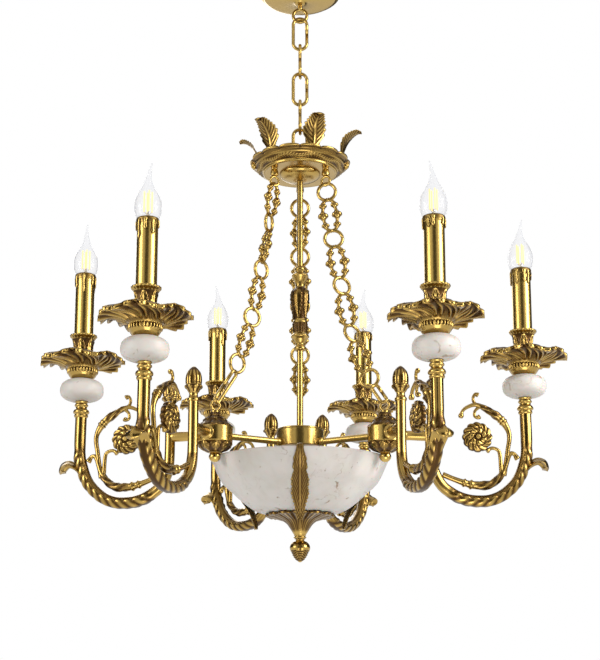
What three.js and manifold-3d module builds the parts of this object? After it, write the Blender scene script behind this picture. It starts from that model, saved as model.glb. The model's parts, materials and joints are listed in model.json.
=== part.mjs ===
// Alabaster bowl pendant: a six-light brass chandelier on a chain, in millimetres, +Z up.
// Origin: the centre of the ceiling plate's flat top. Azimuth 0 looks at -Y, and azimuths grow towards +X.
import * as THREE from 'three';
import { mergeVertices } from 'three/addons/utils/BufferGeometryUtils.js';
import Module from 'manifold-3d';

const wasm = await Module();
wasm.setup();

// Fits shared by the whole lamp
const SEAT_GAP = 0.3;
const RUNNING_GAP = 0.4;
const MERGE_SIZE = 0.001;
const FUSE_DEPTH = 1.0;

// Facets: how finely round pieces are drawn
const LARGE_SIDES = 16;
const DRUM_SIDES = 16;
const HUB_SIDES = 12;
const MEDIUM_SIDES = 10;
const SMALL_SIDES = 8;
const PAN_SIDES = 12;
const WIRE_CORNERS = 6;
const THIN_CORNERS = 4;
const LINK_HALF_STEPS = 4;
const RING_HALF_STEPS = 4;
const ARM_STEPS = 14;
const SCROLL_STEPS = 9;
const BUD_STEPS = 3;
const LEAF_STEPS = 5;
const BOWL_LEAF_STEPS = 16;

// Ceiling plate and its loop
const CEILING_PLATE_RADIUS = 55;
const CEILING_PLATE_HEIGHT = 17;
const CEILING_LOOP_NECK = 5.3;
const CEILING_LOOP_NECK_RADIUS = 4;

// Suspension chain
const CHAIN_LINKS = 4;
const CHAIN_WIRE = 5;
const CHAIN_LINK_LENGTH = 53.8;
const CHAIN_LINK_WIDTH = 25;

// Canopy at the top of the frame
const CANOPY_LOOP_HEIGHT = 66.4;
const CANOPY_LOOP_EYE_LENGTH = 38;
const CANOPY_LOOP_FOOT_RADIUS = 11;
const CANOPY_LOOP_NECK_RADIUS = 6.5;
const CANOPY_LOOP_SOCKET = 10;
const CANOPY_RADIUS = 72.3;
const CANOPY_HEIGHT = 19;
const CANOPY_FLOOR = 4.4;
const CANOPY_WALL = 3;
const CANOPY_KNOB_CIRCLE = 42;
const CANOPY_KNOB_RADIUS = 5.8;
const CANOPY_KNOB_HEIGHT = 10.6;
const DOME_RADIUS = 29;
const DOME_HEIGHT = 10.3;

// Crown of leaves on the canopy's rim
const CROWN_LEAVES = 6;
const CROWN_FIRST_DEGREES = 18;
const CROWN_RING_HEIGHT = 2;
const CROWN_RING_WIDTH = 7;
const CROWN_LEAF_RISE = 39;
const CROWN_LEAF_REACH = 26;
const CROWN_LEAF_HALF_WIDTH = 18.5;
const CROWN_LEAF_THICKNESS = 2.4;

// Stem: two tubes with a vase between them, held together by one rod
const ROD_RADIUS = 3;
const STEM_TUBE_RADIUS = 4.4;
const STEM_UPPER_LENGTH = 127.7;
const STEM_LOWER_LENGTH = 111.6;
const VASE_HEIGHT = 122.5;
const VASE_RADIUS = 13.2;

// Hub, spokes and drums
const HUB_RADIUS = 32.7;
const HUB_HEIGHT = 26;
const SPOKE_ABOVE_HUB_BASE = 5.5;
const SPOKE_RADIUS = 4.45;
const SPOKE_COLLAR_RADIUS = 6;
const SPOKE_COLLAR_LENGTH = 5;
const DRUM_RADIUS = 23.6;
const DRUM_HEIGHT = 21;
const DRUM_CROWN_HEIGHT = 22;
const DRUM_CUP_HEIGHT = 13;
const DRUM_BALL_RADIUS = 8;
const DRUM_DEGREES = [-60, 60, 180];

// Side chains from the canopy's knobs to the drums
const SIDE_EYE_RADIUS = 6.75;
const SIDE_WIRE = 3.5;
const SIDE_RING_WIDTH = 30;
const SIDE_LINK_WIDTH = 26;
const SIDE_SMALL_RING_WIDTH = 17;
const SIDE_PLAIN_LINK_WIDTH = 19;
const SIDE_BITE_SHARE = 0.8;
const SIDE_TURN_DEGREES = 45;

// Bowl and what closes it below; the drums stand just outside its rim
const BOWL_BELOW_HUB = 19;
const BOWL_RADIUS = 122;
const DRUM_BESIDE_BOWL = 9;
const DRUM_CIRCLE = BOWL_RADIUS + DRUM_BESIDE_BOWL;
const BOWL_DEPTH = 79;
const BOWL_WALL = 7;
const BOWL_FLAT_SHARE = 0.18;
const BOWL_WASHER_RADIUS = 16;
const BOWL_WASHER_THICKNESS = 4;
const BOWL_SPACER_RADIUS = 6;
const BOWL_CUP_RADIUS = 47;
const BOWL_CUP_HEIGHT = 27.7;
const BOWL_CUP_WALL = 3.5;
const FINIAL_HEIGHT = 32;
const FINIAL_RADIUS = 13.3;
const FINIAL_SOCKET = 12;

// Leaves that hook over the bowl's rim
const BOWL_LEAF_DEGREES = [0, 120, 240];
const BOWL_LEAF_HALF_WIDTH = 12;
const BOWL_LEAF_THICKNESS = 3;
const BOWL_LEAF_HOOK = 9;
const BOWL_LEAF_TAIL_DROP = 20;

// Arms: how far each drum's pair is turned, half the angle between its two arms, and an arm's own sizes
const ARM_PAIR_DEGREES = [-3.7, -3.7, 5.6];
const ARM_HALF_SPREAD_DEGREES = [41, 41, 37.7];
const ARM_REACH = 194;
const ARM_POST_REACH = 64;
const ARM_DEPTH = 86.5;
const ARM_RISE = 35;
const ARM_TUBE_RADIUS = 7.6;
const ARM_STUB_RADIUS = 8.25;
const ARM_STUB_COLLAR_RADIUS = 10.5;
const ARM_STUB_COLLAR_LENGTH = 8;
const ACORN_RADIUS = 11.5;
const ACORN_HEIGHT = 48.4;
const SCROLL_RADIUS = 4.6;
const BRANCH_RADIUS = 3.4;
const BUD_RADIUS = 2.4;
const ROSETTE_RADIUS = 21;
const ROSETTE_HALF_THICKNESS = 5.5;
const CURL_HALF_WIDTH = 7;
const CURL_HALF_THICKNESS = 3;

// What stands on an arm: collars, alabaster knob, drip pan, sleeve and lamp
const COLLAR_HEIGHT = 21;
const COLLAR_RADIUS = 11;
const NIPPLE_RADIUS = 5;
const KNOB_RADIUS = 30;
const KNOB_HEIGHT = 36.3;
const PAN_RADIUS = 60;
const PAN_FOOT_RADIUS = 16;
const PAN_RIM_RISE = 20.3;
const PAN_THICKNESS = 2.8;
const PAN_TIP_DROOP = 6;
const PAN_SEAM_RISE = 3;
const PAN_SEAM_PULL_SHARE = 0.12;
const PAN_TIP_DEGREES = -95;
const PAN_NECK_RADIUS = 13;
const PAN_NECK_RISE = 23;
const PAN_CUP_BASE_RISE = 44;
const PAN_CUP_FLOOR_RISE = 48;
const PAN_CUP_RIM_RISE = 57;
const PAN_CUP_RIM_RADIUS = 19;
const SLEEVE_RADIUS = 13.2;
const SLEEVE_WALL = 1;
const SLEEVE_HEIGHT = 97;
const SLEEVE_LIP_RADIUS = 14.6;
const SLEEVE_LIP_HEIGHT = 33;
const LAMPHOLDER_RADIUS = 10.6;
const LAMPHOLDER_DROP = 14;
const LAMPHOLDER_HEIGHT = 44;
const LAMP_BASE_RADIUS = 6.9;
const LAMP_BASE_LENGTH = 26;
const BULB_RADIUS = 17.5;
const BULB_HEIGHT = 88;
const BULB_TIP_LEAN = 4;
const BULB_LEAN_DEGREES = [20, 90, 270, 90, 60, 250];

// Outlines as shares of the sizes that they follow, each point a radius share and a height share
const plateShares = [[0, 0], [0.12, 0], [0.2, 0.25], [0.5, 0.45], [0.9, 0.6], [1, 0.75], [1, 1], [0, 1]];
const canopyShares = [[0.8, 0], [0.86, 0.16], [0.95, 0.42], [0.985, 0.7], [1, 0.87], [0.965, 1]];
const CANOPY_INSIDE_FIRST = 2;
const domeShares = [[0.26, 0], [0.69, 0.13], [0.96, 0.5], [1, 1]];
const vaseShares = [
    [0.66, 0], [0.49, 0.07], [0.73, 0.115], [1, 0.163], [0.73, 0.21], [0.73, 0.3], [0.8, 0.345],
    [0.66, 0.38], [0.86, 0.567], [0.91, 0.673], [0.61, 0.73], [0.44, 0.77], [0.59, 0.82], [0.9, 0.883],
    [0.49, 0.926], [0.56, 1],
];
const hubShares = [[0.9, 0], [1, 0.1], [1, 0.9], [0.9, 1]];
const drumCrownShares = [[0.85, 0.14], [0.6, 0.5], [0.32, 0.8], [0.25, 1]];
const drumCupShares = [[0.34, 0], [0.55, 0.3], [0.82, 0.65]];
const ballShares = [[0, -1], [0.6, -0.8], [1, 0], [0.7, 0.72]];
const bowlShares = [[0.325, 0.063], [0.494, 0.127], [0.632, 0.266], [0.769, 0.456], [0.891, 0.646], [1, 1]];
const BOWL_LEAF_LAST = 2;
const cupShares = [[0.15, 0], [0.15, 0.22], [0.36, 0.36], [0.55, 0.62], [0.9, 0.88]];
const finialShares = [[0, 0], [0.4, 0.1], [0.95, 0.45], [1, 0.6], [0.6, 0.8], [0.62, 1]];
const acornShares = [[0.75, 0], [0.6, 0.3], [1, 0.45], [0.8, 0.8], [0, 1]];
const collarShares = [[0.76, 0], [1, 0.3], [0.7, 0.5], [0.85, 0.75], [0.64, 1]];
const knobShares = [[0.4, 0], [0.78, 0.1], [1, 0.38], [1, 0.62], [0.78, 0.9], [0.4, 1]];
const panShares = [[0.333, 0.52], [0.567, 0.926], [1, 1]];
const bulbShares = [
    [0.53, 0.07], [0.62, 0.165], [0.93, 0.235], [1, 0.35], [0.91, 0.445], [0.65, 0.563], [0.37, 0.68],
    [0.17, 0.82], [0.06, 1],
];
const bulbLeanShares = [0, 0, 0, 0, 0, 0.1, 0.4, 1];

// Curves as shares of reach and rise, along each piece's own plane
const armPathShares = [
    [0.328, -0.266], [0.341, -0.543], [0.39, -0.763], [0.467, -0.896], [0.558, -0.977], [0.65, -1],
    [0.742, -0.977], [0.833, -0.879], [0.925, -0.677], [0.977, -0.416], [1, -0.15],
];
const innerScrollShares = [
    [0.935, -0.335], [0.907, -0.25], [0.874, -0.277], [0.833, -0.517], [0.787, -0.659], [0.723, -0.748],
    [0.63, -0.757], [0.558, -0.728], [0.466, -0.659], [0.4, -0.6],
];
const innerScrollSizeShares = [0.6, 0.7, 0.8, 0.9, 1.1, 1.25, 1.2, 1, 0.9, 1];
const bigScrollShares = [
    [0.835, -0.45], [0.865, -0.197], [0.879, -0.016], [0.874, 0.104], [0.846, 0.224], [0.805, 0.324],
    [0.723, 0.445], [0.65, 0.514], [0.59, 0.48], [0.55, 0.41], [0.535, 0.3],
];
const bigScrollSizeShares = [0.9, 0.9, 0.9, 0.9, 1, 1.4, 1.5, 1, 0.8, 0.7, 0.5];
const rosetteStemShares = [[0.815, -0.56], [0.808, -0.27], [0.79, -0.19], [0.75, -0.17], [0.7, -0.1]];
const stemSizeShares = [1, 0.7];
const topBudShares = [[0.65, 0.5], [0.628, 0.58], [0.63, 0.66], [0.65, 0.685]];
const innerBudShares = [[0.66, 0.48], [0.63, 0.4], [0.635, 0.33], [0.655, 0.32]];
const outerCurlShares = [[0.965, -0.5], [1.02, -0.4], [1.075, -0.35], [1.12, -0.4], [1.14, -0.49]];
const outerCurlSizeShares = [[0.9, 1], [1, 0.9], [1, 0.8], [0.8, 0.6], [0.4, 0.5]];
const ROSETTE_REACH_SHARE = 0.65;
const crownLeafShares = [[0, 0], [0.02, 0.35], [0.2, 0.75], [0.55, 1], [0.9, 1], [1, 0.88]];
const crownLeafSizeShares = [[0.4, 1], [0.75, 1], [1, 1], [0.9, 1], [0.55, 0.9], [0.15, 0.8]];
const bowlLeafSizeShares = [
    [0.3, 1], [0.38, 1], [0.4, 1], [0.42, 1], [0.55, 1], [0.85, 1], [1, 1], [0.7, 0.9], [0.2, 0.8],
];
const sideChainShares = [[0, 0], [0.114, 0.213], [0.247, 0.423], [0.423, 0.655], [0.706, 0.869], [1, 1]];
const smallRingShare = 0.0307;
const ornamentLinkShare = 0.1401;
const sideRingShare = 0.073;

// Colours and finishes
const brass = { color: 0xb4873a, roughness: 0.3, metalness: 1 };
const darkBrass = { color: 0x8d6426, roughness: 0.38, metalness: 1 };
const alabaster = { color: 0xe6e0d8, roughness: 0.35, metalness: 0 };
const glass = { color: 0xf2f4f5, roughness: 0.05, metalness: 0 };

const lamp = new THREE.Group();

// The same number of radians
function radians(degrees) {
    return THREE.MathUtils.degToRad(degrees);
}

// The turn about Z that brings +X to an azimuth
function turnTo(azimuth) {
    return radians(azimuth) - Math.PI / 2;
}

// A bore's corner radius, so that its flats clear a round piece of this radius
function boreAround(radius, gap, sides) {
    return (radius + gap) / Math.cos(Math.PI / sides);
}

// Closes a geometry: shared corners merged, flat slivers dropped, faces turned outwards
function closed(geometry) {
    geometry.deleteAttribute('normal');
    geometry.deleteAttribute('uv');
    const merged = mergeVertices(geometry, MERGE_SIZE);
    const place = merged.attributes.position;
    const corner = (index) => new THREE.Vector3().fromBufferAttribute(place, index);
    const kept = [];
    let volume = 0;
    for (let i = 0; i < merged.index.count; i += 3) {
        const [a, b, c] = [0, 1, 2].map((step) => merged.index.getX(i + step));
        if (a !== b && b !== c && c !== a) {
            kept.push([a, b, c]);
            volume += corner(a).dot(corner(b).cross(corner(c)));
        }
    }
    merged.setIndex(kept.flatMap(([a, b, c]) => (volume > 0 ? [a, b, c] : [a, c, b])));
    return merged;
}

// A solid for joining and cutting
function solid(geometry) {
    const vertProperties = new Float32Array(geometry.attributes.position.array);
    const triVerts = new Uint32Array(geometry.index.array);
    return new wasm.Manifold(new wasm.Mesh({ numProp: 3, vertProperties, triVerts }));
}

// The geometry of a solid
function geometryOf(manifold) {
    const mesh = manifold.getMesh();
    const geometry = new THREE.BufferGeometry();
    geometry.setAttribute('position', new THREE.BufferAttribute(new Float32Array(mesh.vertProperties), 3));
    geometry.setIndex(new THREE.BufferAttribute(new Uint32Array(mesh.triVerts), 1));
    return geometry;
}

// Several closed geometries joined into one body
function joined(geometries) {
    return geometryOf(geometries.map(solid).reduce((whole, piece) => whole.add(piece)));
}

// A round piece about Z from points of radius and height, on the axis at both ends or closed on itself
function turned(points, sides) {
    const profile = points.map(([radius, height]) => new THREE.Vector2(radius, height));
    return closed(new THREE.LatheGeometry(profile, sides).rotateX(Math.PI / 2));
}

// A turned piece with a hole of this radius along its axis
function turnedWithBore(points, bore, sides) {
    const [first, last] = [points[0], points[points.length - 1]];
    return turned([[bore, first[1]], ...points, [bore, last[1]], [bore, first[1]]], sides);
}

// Points from shares of a radius and a height
function scaled(shares, radius, height) {
    return shares.map(([across, up]) => [across * radius, up * height]);
}

// A smooth curve in the XZ plane through points of reach and height
function planeCurve(points) {
    return new THREE.CatmullRomCurve3(points.map(([reach, height]) => new THREE.Vector3(reach, 0, height)));
}

// The value of a list of shares at a place from 0 to 1 along it
function along(list, place) {
    const at = place * (list.length - 1);
    const low = Math.min(Math.floor(at), list.length - 2);
    return THREE.MathUtils.lerp(list[low], list[low + 1], at - low);
}

// A bar swept along a curve in the XZ plane: half its width lies along Y, half its thickness in the plane
function swept(curve, sizeAt, steps, corners) {
    const side = new THREE.Vector3(0, 1, 0);
    const positions = [];
    const index = [];
    for (let i = 0; i <= steps; i += 1) {
        const place = i / steps;
        const centre = curve.getPoint(place);
        const inPlane = new THREE.Vector3().crossVectors(curve.getTangent(place), side);
        const [halfWidth, halfThickness] = sizeAt(place);
        for (let k = 0; k < corners; k += 1) {
            const angle = (2 * Math.PI * k) / corners;
            const point = centre.clone().addScaledVector(side, halfWidth * Math.cos(angle));
            positions.push(...point.addScaledVector(inPlane, halfThickness * Math.sin(angle)));
        }
    }
    const ends = [curve.getPoint(0), curve.getPoint(1)];
    const firstEnd = positions.length / 3;
    ends.forEach((end) => positions.push(...end));
    for (let k = 0; k < corners; k += 1) {
        const next = (k + 1) % corners;
        for (let i = 0; i < steps; i += 1) {
            const [near, far] = [i * corners, (i + 1) * corners];
            index.push(near + k, far + k, far + next, near + k, far + next, near + next);
        }
        index.push(firstEnd, k, next, firstEnd + 1, steps * corners + next, steps * corners + k);
    }
    const geometry = new THREE.BufferGeometry();
    geometry.setAttribute('position', new THREE.Float32BufferAttribute(positions, 3));
    geometry.setIndex(index);
    return closed(geometry);
}

// A round bar of one radius, or one that follows a list of shares of it
function bar(points, radius, steps, corners, sizeShares = [1, 1]) {
    const sizeAt = (place) => {
        const size = radius * along(sizeShares, place);
        return [size, size];
    };
    return swept(planeCurve(points), sizeAt, steps, corners);
}

// A leaf: half width and half thickness follow a table of their shares
function leaf(points, halfWidth, halfThickness, sizeShares, steps) {
    const widths = sizeShares.map(([width]) => width);
    const thicknesses = sizeShares.map(([, thickness]) => thickness);
    const sizeAt = (place) => [halfWidth * along(widths, place), halfThickness * along(thicknesses, place)];
    return swept(planeCurve(points), sizeAt, steps, THIN_CORNERS);
}

// A closed wire loop in the XZ plane, centred on the origin, its length along Z
function wireLoop(length, width, wire, halfSteps, corners) {
    const radius = (width - wire) / 2;
    const straight = Math.max(length - width, 0) / 2;
    const positions = [];
    const index = [];
    for (const half of [0, 1]) {
        for (let i = 0; i <= halfSteps; i += 1) {
            const angle = Math.PI * (half + i / halfSteps);
            const outward = new THREE.Vector3(Math.cos(angle), 0, Math.sin(angle));
            const centre = outward.clone().multiplyScalar(radius);
            centre.z += half ? -straight : straight;
            for (let k = 0; k < corners; k += 1) {
                const turn = (2 * Math.PI * k) / corners;
                const point = centre.clone().addScaledVector(outward, (wire / 2) * Math.cos(turn));
                point.y = (wire / 2) * Math.sin(turn);
                positions.push(...point);
            }
        }
    }
    const rings = positions.length / 3 / corners;
    for (let i = 0; i < rings; i += 1) {
        const [near, far] = [i * corners, ((i + 1) % rings) * corners];
        for (let k = 0; k < corners; k += 1) {
            const next = (k + 1) % corners;
            index.push(near + k, far + k, far + next, near + k, far + next, near + next);
        }
    }
    const geometry = new THREE.BufferGeometry();
    geometry.setAttribute('position', new THREE.Float32BufferAttribute(positions, 3));
    geometry.setIndex(index);
    return closed(geometry);
}

// Adds a named piece to the lamp at a place, turned to an azimuth
function add(name, geometry, finish, place = [0, 0, 0], azimuth = 90) {
    const mesh = new THREE.Mesh(geometry, new THREE.MeshStandardMaterial(finish));
    mesh.name = name;
    mesh.position.set(...place);
    mesh.rotation.z = turnTo(azimuth);
    lamp.add(mesh);
}

// The place on a circle about the lamp's axis at an azimuth
function onCircle(radius, azimuth, height) {
    return [radius * Math.sin(radians(azimuth)), -radius * Math.cos(radians(azimuth)), height];
}

// Heights of the stack, from the ceiling down
const ceilingLoopTopZ = -(CEILING_PLATE_HEIGHT + SEAT_GAP);
const ceilingLoopWireZ = ceilingLoopTopZ - CEILING_LOOP_NECK - CHAIN_LINK_WIDTH + CHAIN_WIRE / 2;
const wireRise = CHAIN_WIRE + SEAT_GAP;
const linkSpan = CHAIN_LINK_LENGTH - CHAIN_WIRE;
const linkPitch = linkSpan - wireRise;
const lastLinkWireZ = ceilingLoopWireZ - CHAIN_LINKS * linkPitch;
const canopyLoopTopZ = lastLinkWireZ + wireRise + CHAIN_WIRE / 2;
const canopyFloorZ = canopyLoopTopZ - CANOPY_LOOP_HEIGHT - SEAT_GAP;
const canopyBaseZ = canopyFloorZ - CANOPY_FLOOR;
const canopyRimZ = canopyBaseZ + CANOPY_HEIGHT;
const domeBaseZ = canopyBaseZ - SEAT_GAP - DOME_HEIGHT;
const upperTubeBaseZ = domeBaseZ - SEAT_GAP - STEM_UPPER_LENGTH;
const vaseBaseZ = upperTubeBaseZ - SEAT_GAP - VASE_HEIGHT;
const lowerTubeBaseZ = vaseBaseZ - SEAT_GAP - STEM_LOWER_LENGTH;
const hubBaseZ = lowerTubeBaseZ - SEAT_GAP - HUB_HEIGHT;
const spokeZ = hubBaseZ + SPOKE_ABOVE_HUB_BASE;
const bowlBaseZ = hubBaseZ - BOWL_BELOW_HUB - BOWL_DEPTH;
const cupBaseZ = bowlBaseZ - SEAT_GAP - BOWL_CUP_HEIGHT;
const finialBaseZ = cupBaseZ - SEAT_GAP - FINIAL_HEIGHT;
const candleSeatZ = spokeZ + ARM_RISE;

// Heights above a drum's middle, and above the seat of a candle's stack
const drumEyeRise = DRUM_HEIGHT / 2 + DRUM_CROWN_HEIGHT + SIDE_EYE_RADIUS + SIDE_WIRE / 2 - FUSE_DEPTH;
const knobBaseRise = COLLAR_HEIGHT + SEAT_GAP;
const panBaseRise = knobBaseRise + KNOB_HEIGHT + SEAT_GAP;
const sleeveBaseRise = panBaseRise + PAN_CUP_FLOOR_RISE + SEAT_GAP;
const bulbSeatRise = sleeveBaseRise + SLEEVE_HEIGHT - LAMPHOLDER_DROP;

// Ceiling plate, its loop and the four links, each link a quarter turn from the last
function addSuspension() {
    const plate = turned(scaled(plateShares, CEILING_PLATE_RADIUS, CEILING_PLATE_HEIGHT), LARGE_SIDES);
    add('ceiling_plate', plate, brass, [0, 0, -CEILING_PLATE_HEIGHT]);
    const ring = wireLoop(CHAIN_LINK_WIDTH, CHAIN_LINK_WIDTH, CHAIN_WIRE, LINK_HALF_STEPS, WIRE_CORNERS);
    const ringTop = CHAIN_LINK_WIDTH / 2;
    const neck = turned([
        [0, ringTop - CHAIN_WIRE / 2], [CEILING_LOOP_NECK_RADIUS, ringTop - CHAIN_WIRE / 2],
        [CEILING_LOOP_NECK_RADIUS, ringTop + CEILING_LOOP_NECK], [0, ringTop + CEILING_LOOP_NECK],
    ], SMALL_SIDES);
    add('ceiling_loop', joined([ring, neck]), darkBrass,
        [0, 0, ceilingLoopWireZ + ringTop - CHAIN_WIRE / 2], 0);
    const link = wireLoop(CHAIN_LINK_LENGTH, CHAIN_LINK_WIDTH, CHAIN_WIRE, LINK_HALF_STEPS, WIRE_CORNERS);
    for (let i = 1; i <= CHAIN_LINKS; i += 1) {
        const wireZ = ceilingLoopWireZ - i * linkPitch;
        add(`chain_link_${i}`, link, darkBrass, [0, 0, wireZ + linkSpan / 2], i % 2 ? 90 : 0);
    }
}

// Loop with a foot that stands on the canopy's floor and takes the rod's top end
function canopyLoop() {
    const eyeLength = CANOPY_LOOP_EYE_LENGTH;
    const eye = wireLoop(eyeLength, CHAIN_LINK_WIDTH, CHAIN_WIRE, LINK_HALF_STEPS, WIRE_CORNERS);
    const footTop = CANOPY_LOOP_HEIGHT - eyeLength + CHAIN_WIRE / 2;
    const bore = boreAround(ROD_RADIUS, SEAT_GAP, SMALL_SIDES);
    const foot = turned([
        [bore, 0], [CANOPY_LOOP_FOOT_RADIUS, 0], [CANOPY_LOOP_FOOT_RADIUS, CHAIN_WIRE],
        [CANOPY_LOOP_NECK_RADIUS, 2 * CHAIN_WIRE], [CHAIN_WIRE, footTop], [0, footTop],
        [0, CANOPY_LOOP_SOCKET], [bore, CANOPY_LOOP_SOCKET], [bore, 0],
    ], SMALL_SIDES);
    return joined([eye.translate(0, 0, CANOPY_LOOP_HEIGHT - eyeLength / 2), foot]);
}

// A small eye for a side chain, in the XZ plane and centred on the origin
function chainEye() {
    const width = 2 * SIDE_EYE_RADIUS + SIDE_WIRE;
    return wireLoop(width, width, SIDE_WIRE, RING_HALF_STEPS, THIN_CORNERS);
}

// Dished canopy with three knobs below it, each carrying an eye in its own radial plane
function canopy() {
    const outer = scaled(canopyShares, CANOPY_RADIUS, CANOPY_HEIGHT);
    const wall = outer.slice(CANOPY_INSIDE_FIRST).reverse();
    const inner = wall.map(([radius, height]) => [radius - CANOPY_WALL, height]);
    const floorEdge = inner[inner.length - 1][0] - CANOPY_WALL;
    const bore = boreAround(ROD_RADIUS, SEAT_GAP, LARGE_SIDES);
    const dish = turned([
        [bore, 0], ...outer, ...inner, [floorEdge, CANOPY_FLOOR], [bore, CANOPY_FLOOR], [bore, 0],
    ], LARGE_SIDES);
    const pieces = [dish];
    for (const azimuth of DRUM_DEGREES) {
        const knob = turned([
            [0, -CANOPY_KNOB_HEIGHT], [CANOPY_KNOB_RADIUS / 2, -CANOPY_KNOB_HEIGHT],
            [CANOPY_KNOB_RADIUS, -CANOPY_KNOB_HEIGHT / 2], [CANOPY_KNOB_RADIUS, FUSE_DEPTH],
            [0, FUSE_DEPTH],
        ], SMALL_SIDES);
        const eyeZ = FUSE_DEPTH - CANOPY_KNOB_HEIGHT - SIDE_EYE_RADIUS - SIDE_WIRE / 2;
        const eye = chainEye().rotateZ(turnTo(azimuth));
        pieces.push(knob.translate(...onCircle(CANOPY_KNOB_CIRCLE, azimuth, 0)));
        pieces.push(eye.translate(...onCircle(CANOPY_KNOB_CIRCLE, azimuth, eyeZ)));
    }
    return joined(pieces);
}

// Ring on the canopy's rim with six leaves that curl outwards
function canopyCrown() {
    const rimRadius = CANOPY_RADIUS * canopyShares[canopyShares.length - 1][0];
    const [inside, outside] = [rimRadius - CROWN_RING_WIDTH, rimRadius - FUSE_DEPTH];
    const ring = turned([
        [inside, 0], [outside, 0], [outside, CROWN_RING_HEIGHT], [inside, CROWN_RING_HEIGHT], [inside, 0],
    ], LARGE_SIDES);
    const footReach = (inside + outside) / 2 - CROWN_LEAF_THICKNESS / 2;
    const footRise = CROWN_RING_HEIGHT - FUSE_DEPTH;
    const shape = scaled(crownLeafShares, CROWN_LEAF_REACH, CROWN_LEAF_RISE);
    const spine = shape.map(([reach, height]) => [reach + footReach, height + footRise]);
    const half = CROWN_LEAF_THICKNESS / 2;
    const blade = leaf(spine, CROWN_LEAF_HALF_WIDTH, half, crownLeafSizeShares, LEAF_STEPS);
    const pieces = [ring];
    for (let i = 0; i < CROWN_LEAVES; i += 1) {
        pieces.push(blade.clone().rotateZ(turnTo(CROWN_FIRST_DEGREES + (360 * i) / CROWN_LEAVES)));
    }
    return joined(pieces);
}

// Canopy with its loop, crown and dome
function addCanopy() {
    add('canopy_loop', canopyLoop(), darkBrass, [0, 0, canopyFloorZ + SEAT_GAP]);
    add('canopy', canopy(), brass, [0, 0, canopyBaseZ]);
    add('canopy_crown', canopyCrown(), brass, [0, 0, canopyRimZ + SEAT_GAP]);
    const bore = boreAround(ROD_RADIUS, SEAT_GAP, MEDIUM_SIDES);
    const dome = turnedWithBore(scaled(domeShares, DOME_RADIUS, DOME_HEIGHT), bore, MEDIUM_SIDES);
    add('canopy_dome', dome, brass, [0, 0, domeBaseZ]);
}

// Tubes, vase, hub and the rod that runs through them all
function addStem() {
    const tubeBore = boreAround(ROD_RADIUS, SEAT_GAP, SMALL_SIDES);
    const bore = boreAround(ROD_RADIUS, SEAT_GAP, MEDIUM_SIDES);
    const tube = (length) => turnedWithBore([[STEM_TUBE_RADIUS, 0], [STEM_TUBE_RADIUS, length]],
        tubeBore, SMALL_SIDES);
    add('stem_upper_tube', tube(STEM_UPPER_LENGTH), brass, [0, 0, upperTubeBaseZ]);
    add('stem_vase', turnedWithBore(scaled(vaseShares, VASE_RADIUS, VASE_HEIGHT), bore, MEDIUM_SIDES),
        brass, [0, 0, vaseBaseZ]);
    add('stem_lower_tube', tube(STEM_LOWER_LENGTH), brass, [0, 0, lowerTubeBaseZ]);
    const hubBore = boreAround(ROD_RADIUS, SEAT_GAP, HUB_SIDES);
    add('hub', turnedWithBore(scaled(hubShares, HUB_RADIUS, HUB_HEIGHT), hubBore, HUB_SIDES),
        brass, [0, 0, hubBaseZ]);
    const bottom = cupBaseZ - FINIAL_SOCKET + SEAT_GAP;
    const washer = bowlBaseZ + BOWL_WALL + SEAT_GAP;
    const spacer = washer + BOWL_WASHER_THICKNESS;
    const shoulder = hubBaseZ - SEAT_GAP;
    const top = canopyFloorZ + CANOPY_LOOP_SOCKET;
    const rod = [
        [0, bottom], [ROD_RADIUS, bottom], [ROD_RADIUS, washer], [BOWL_WASHER_RADIUS, washer],
        [BOWL_WASHER_RADIUS, spacer], [BOWL_SPACER_RADIUS, spacer], [BOWL_SPACER_RADIUS, shoulder],
        [ROD_RADIUS, shoulder], [ROD_RADIUS, top], [0, top],
    ];
    add('centre_rod', turned(rod, SMALL_SIDES), darkBrass);
}

// A spoke from the hub's wall to a drum's wall, a collar at each end
function spoke() {
    const from = HUB_RADIUS + SEAT_GAP;
    const length = DRUM_CIRCLE - DRUM_RADIUS - SEAT_GAP - from;
    const inner = length - SPOKE_COLLAR_LENGTH;
    const profile = [
        [0, 0], [SPOKE_COLLAR_RADIUS, 0], [SPOKE_COLLAR_RADIUS, SPOKE_COLLAR_LENGTH],
        [SPOKE_RADIUS, SPOKE_COLLAR_LENGTH], [SPOKE_RADIUS, inner], [SPOKE_COLLAR_RADIUS, inner],
        [SPOKE_COLLAR_RADIUS, length], [0, length],
    ];
    return turned(profile, SMALL_SIDES).rotateY(Math.PI / 2).translate(from, 0, 0);
}

// A drum with a cup and ball below it and a crown and eye above it
function drum() {
    const half = DRUM_HEIGHT / 2;
    const cupZ = -half - DRUM_CUP_HEIGHT;
    const ballZ = cupZ - DRUM_BALL_RADIUS * ballShares[ballShares.length - 1][1];
    const ball = scaled(ballShares, DRUM_BALL_RADIUS, DRUM_BALL_RADIUS);
    const cup = scaled(drumCupShares, DRUM_RADIUS, DRUM_CUP_HEIGHT);
    const crown = scaled(drumCrownShares, DRUM_RADIUS, DRUM_CROWN_HEIGHT);
    const body = turned([
        ...ball.map(([radius, height]) => [radius, height + ballZ]),
        ...cup.map(([radius, height]) => [radius, height + cupZ]),
        [DRUM_RADIUS, -half], [DRUM_RADIUS, half],
        ...crown.map(([radius, height]) => [radius, height + half]),
        [0, half + DRUM_CROWN_HEIGHT],
    ], DRUM_SIDES);
    return joined([body, chainEye().translate(0, 0, drumEyeRise)]);
}

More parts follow.
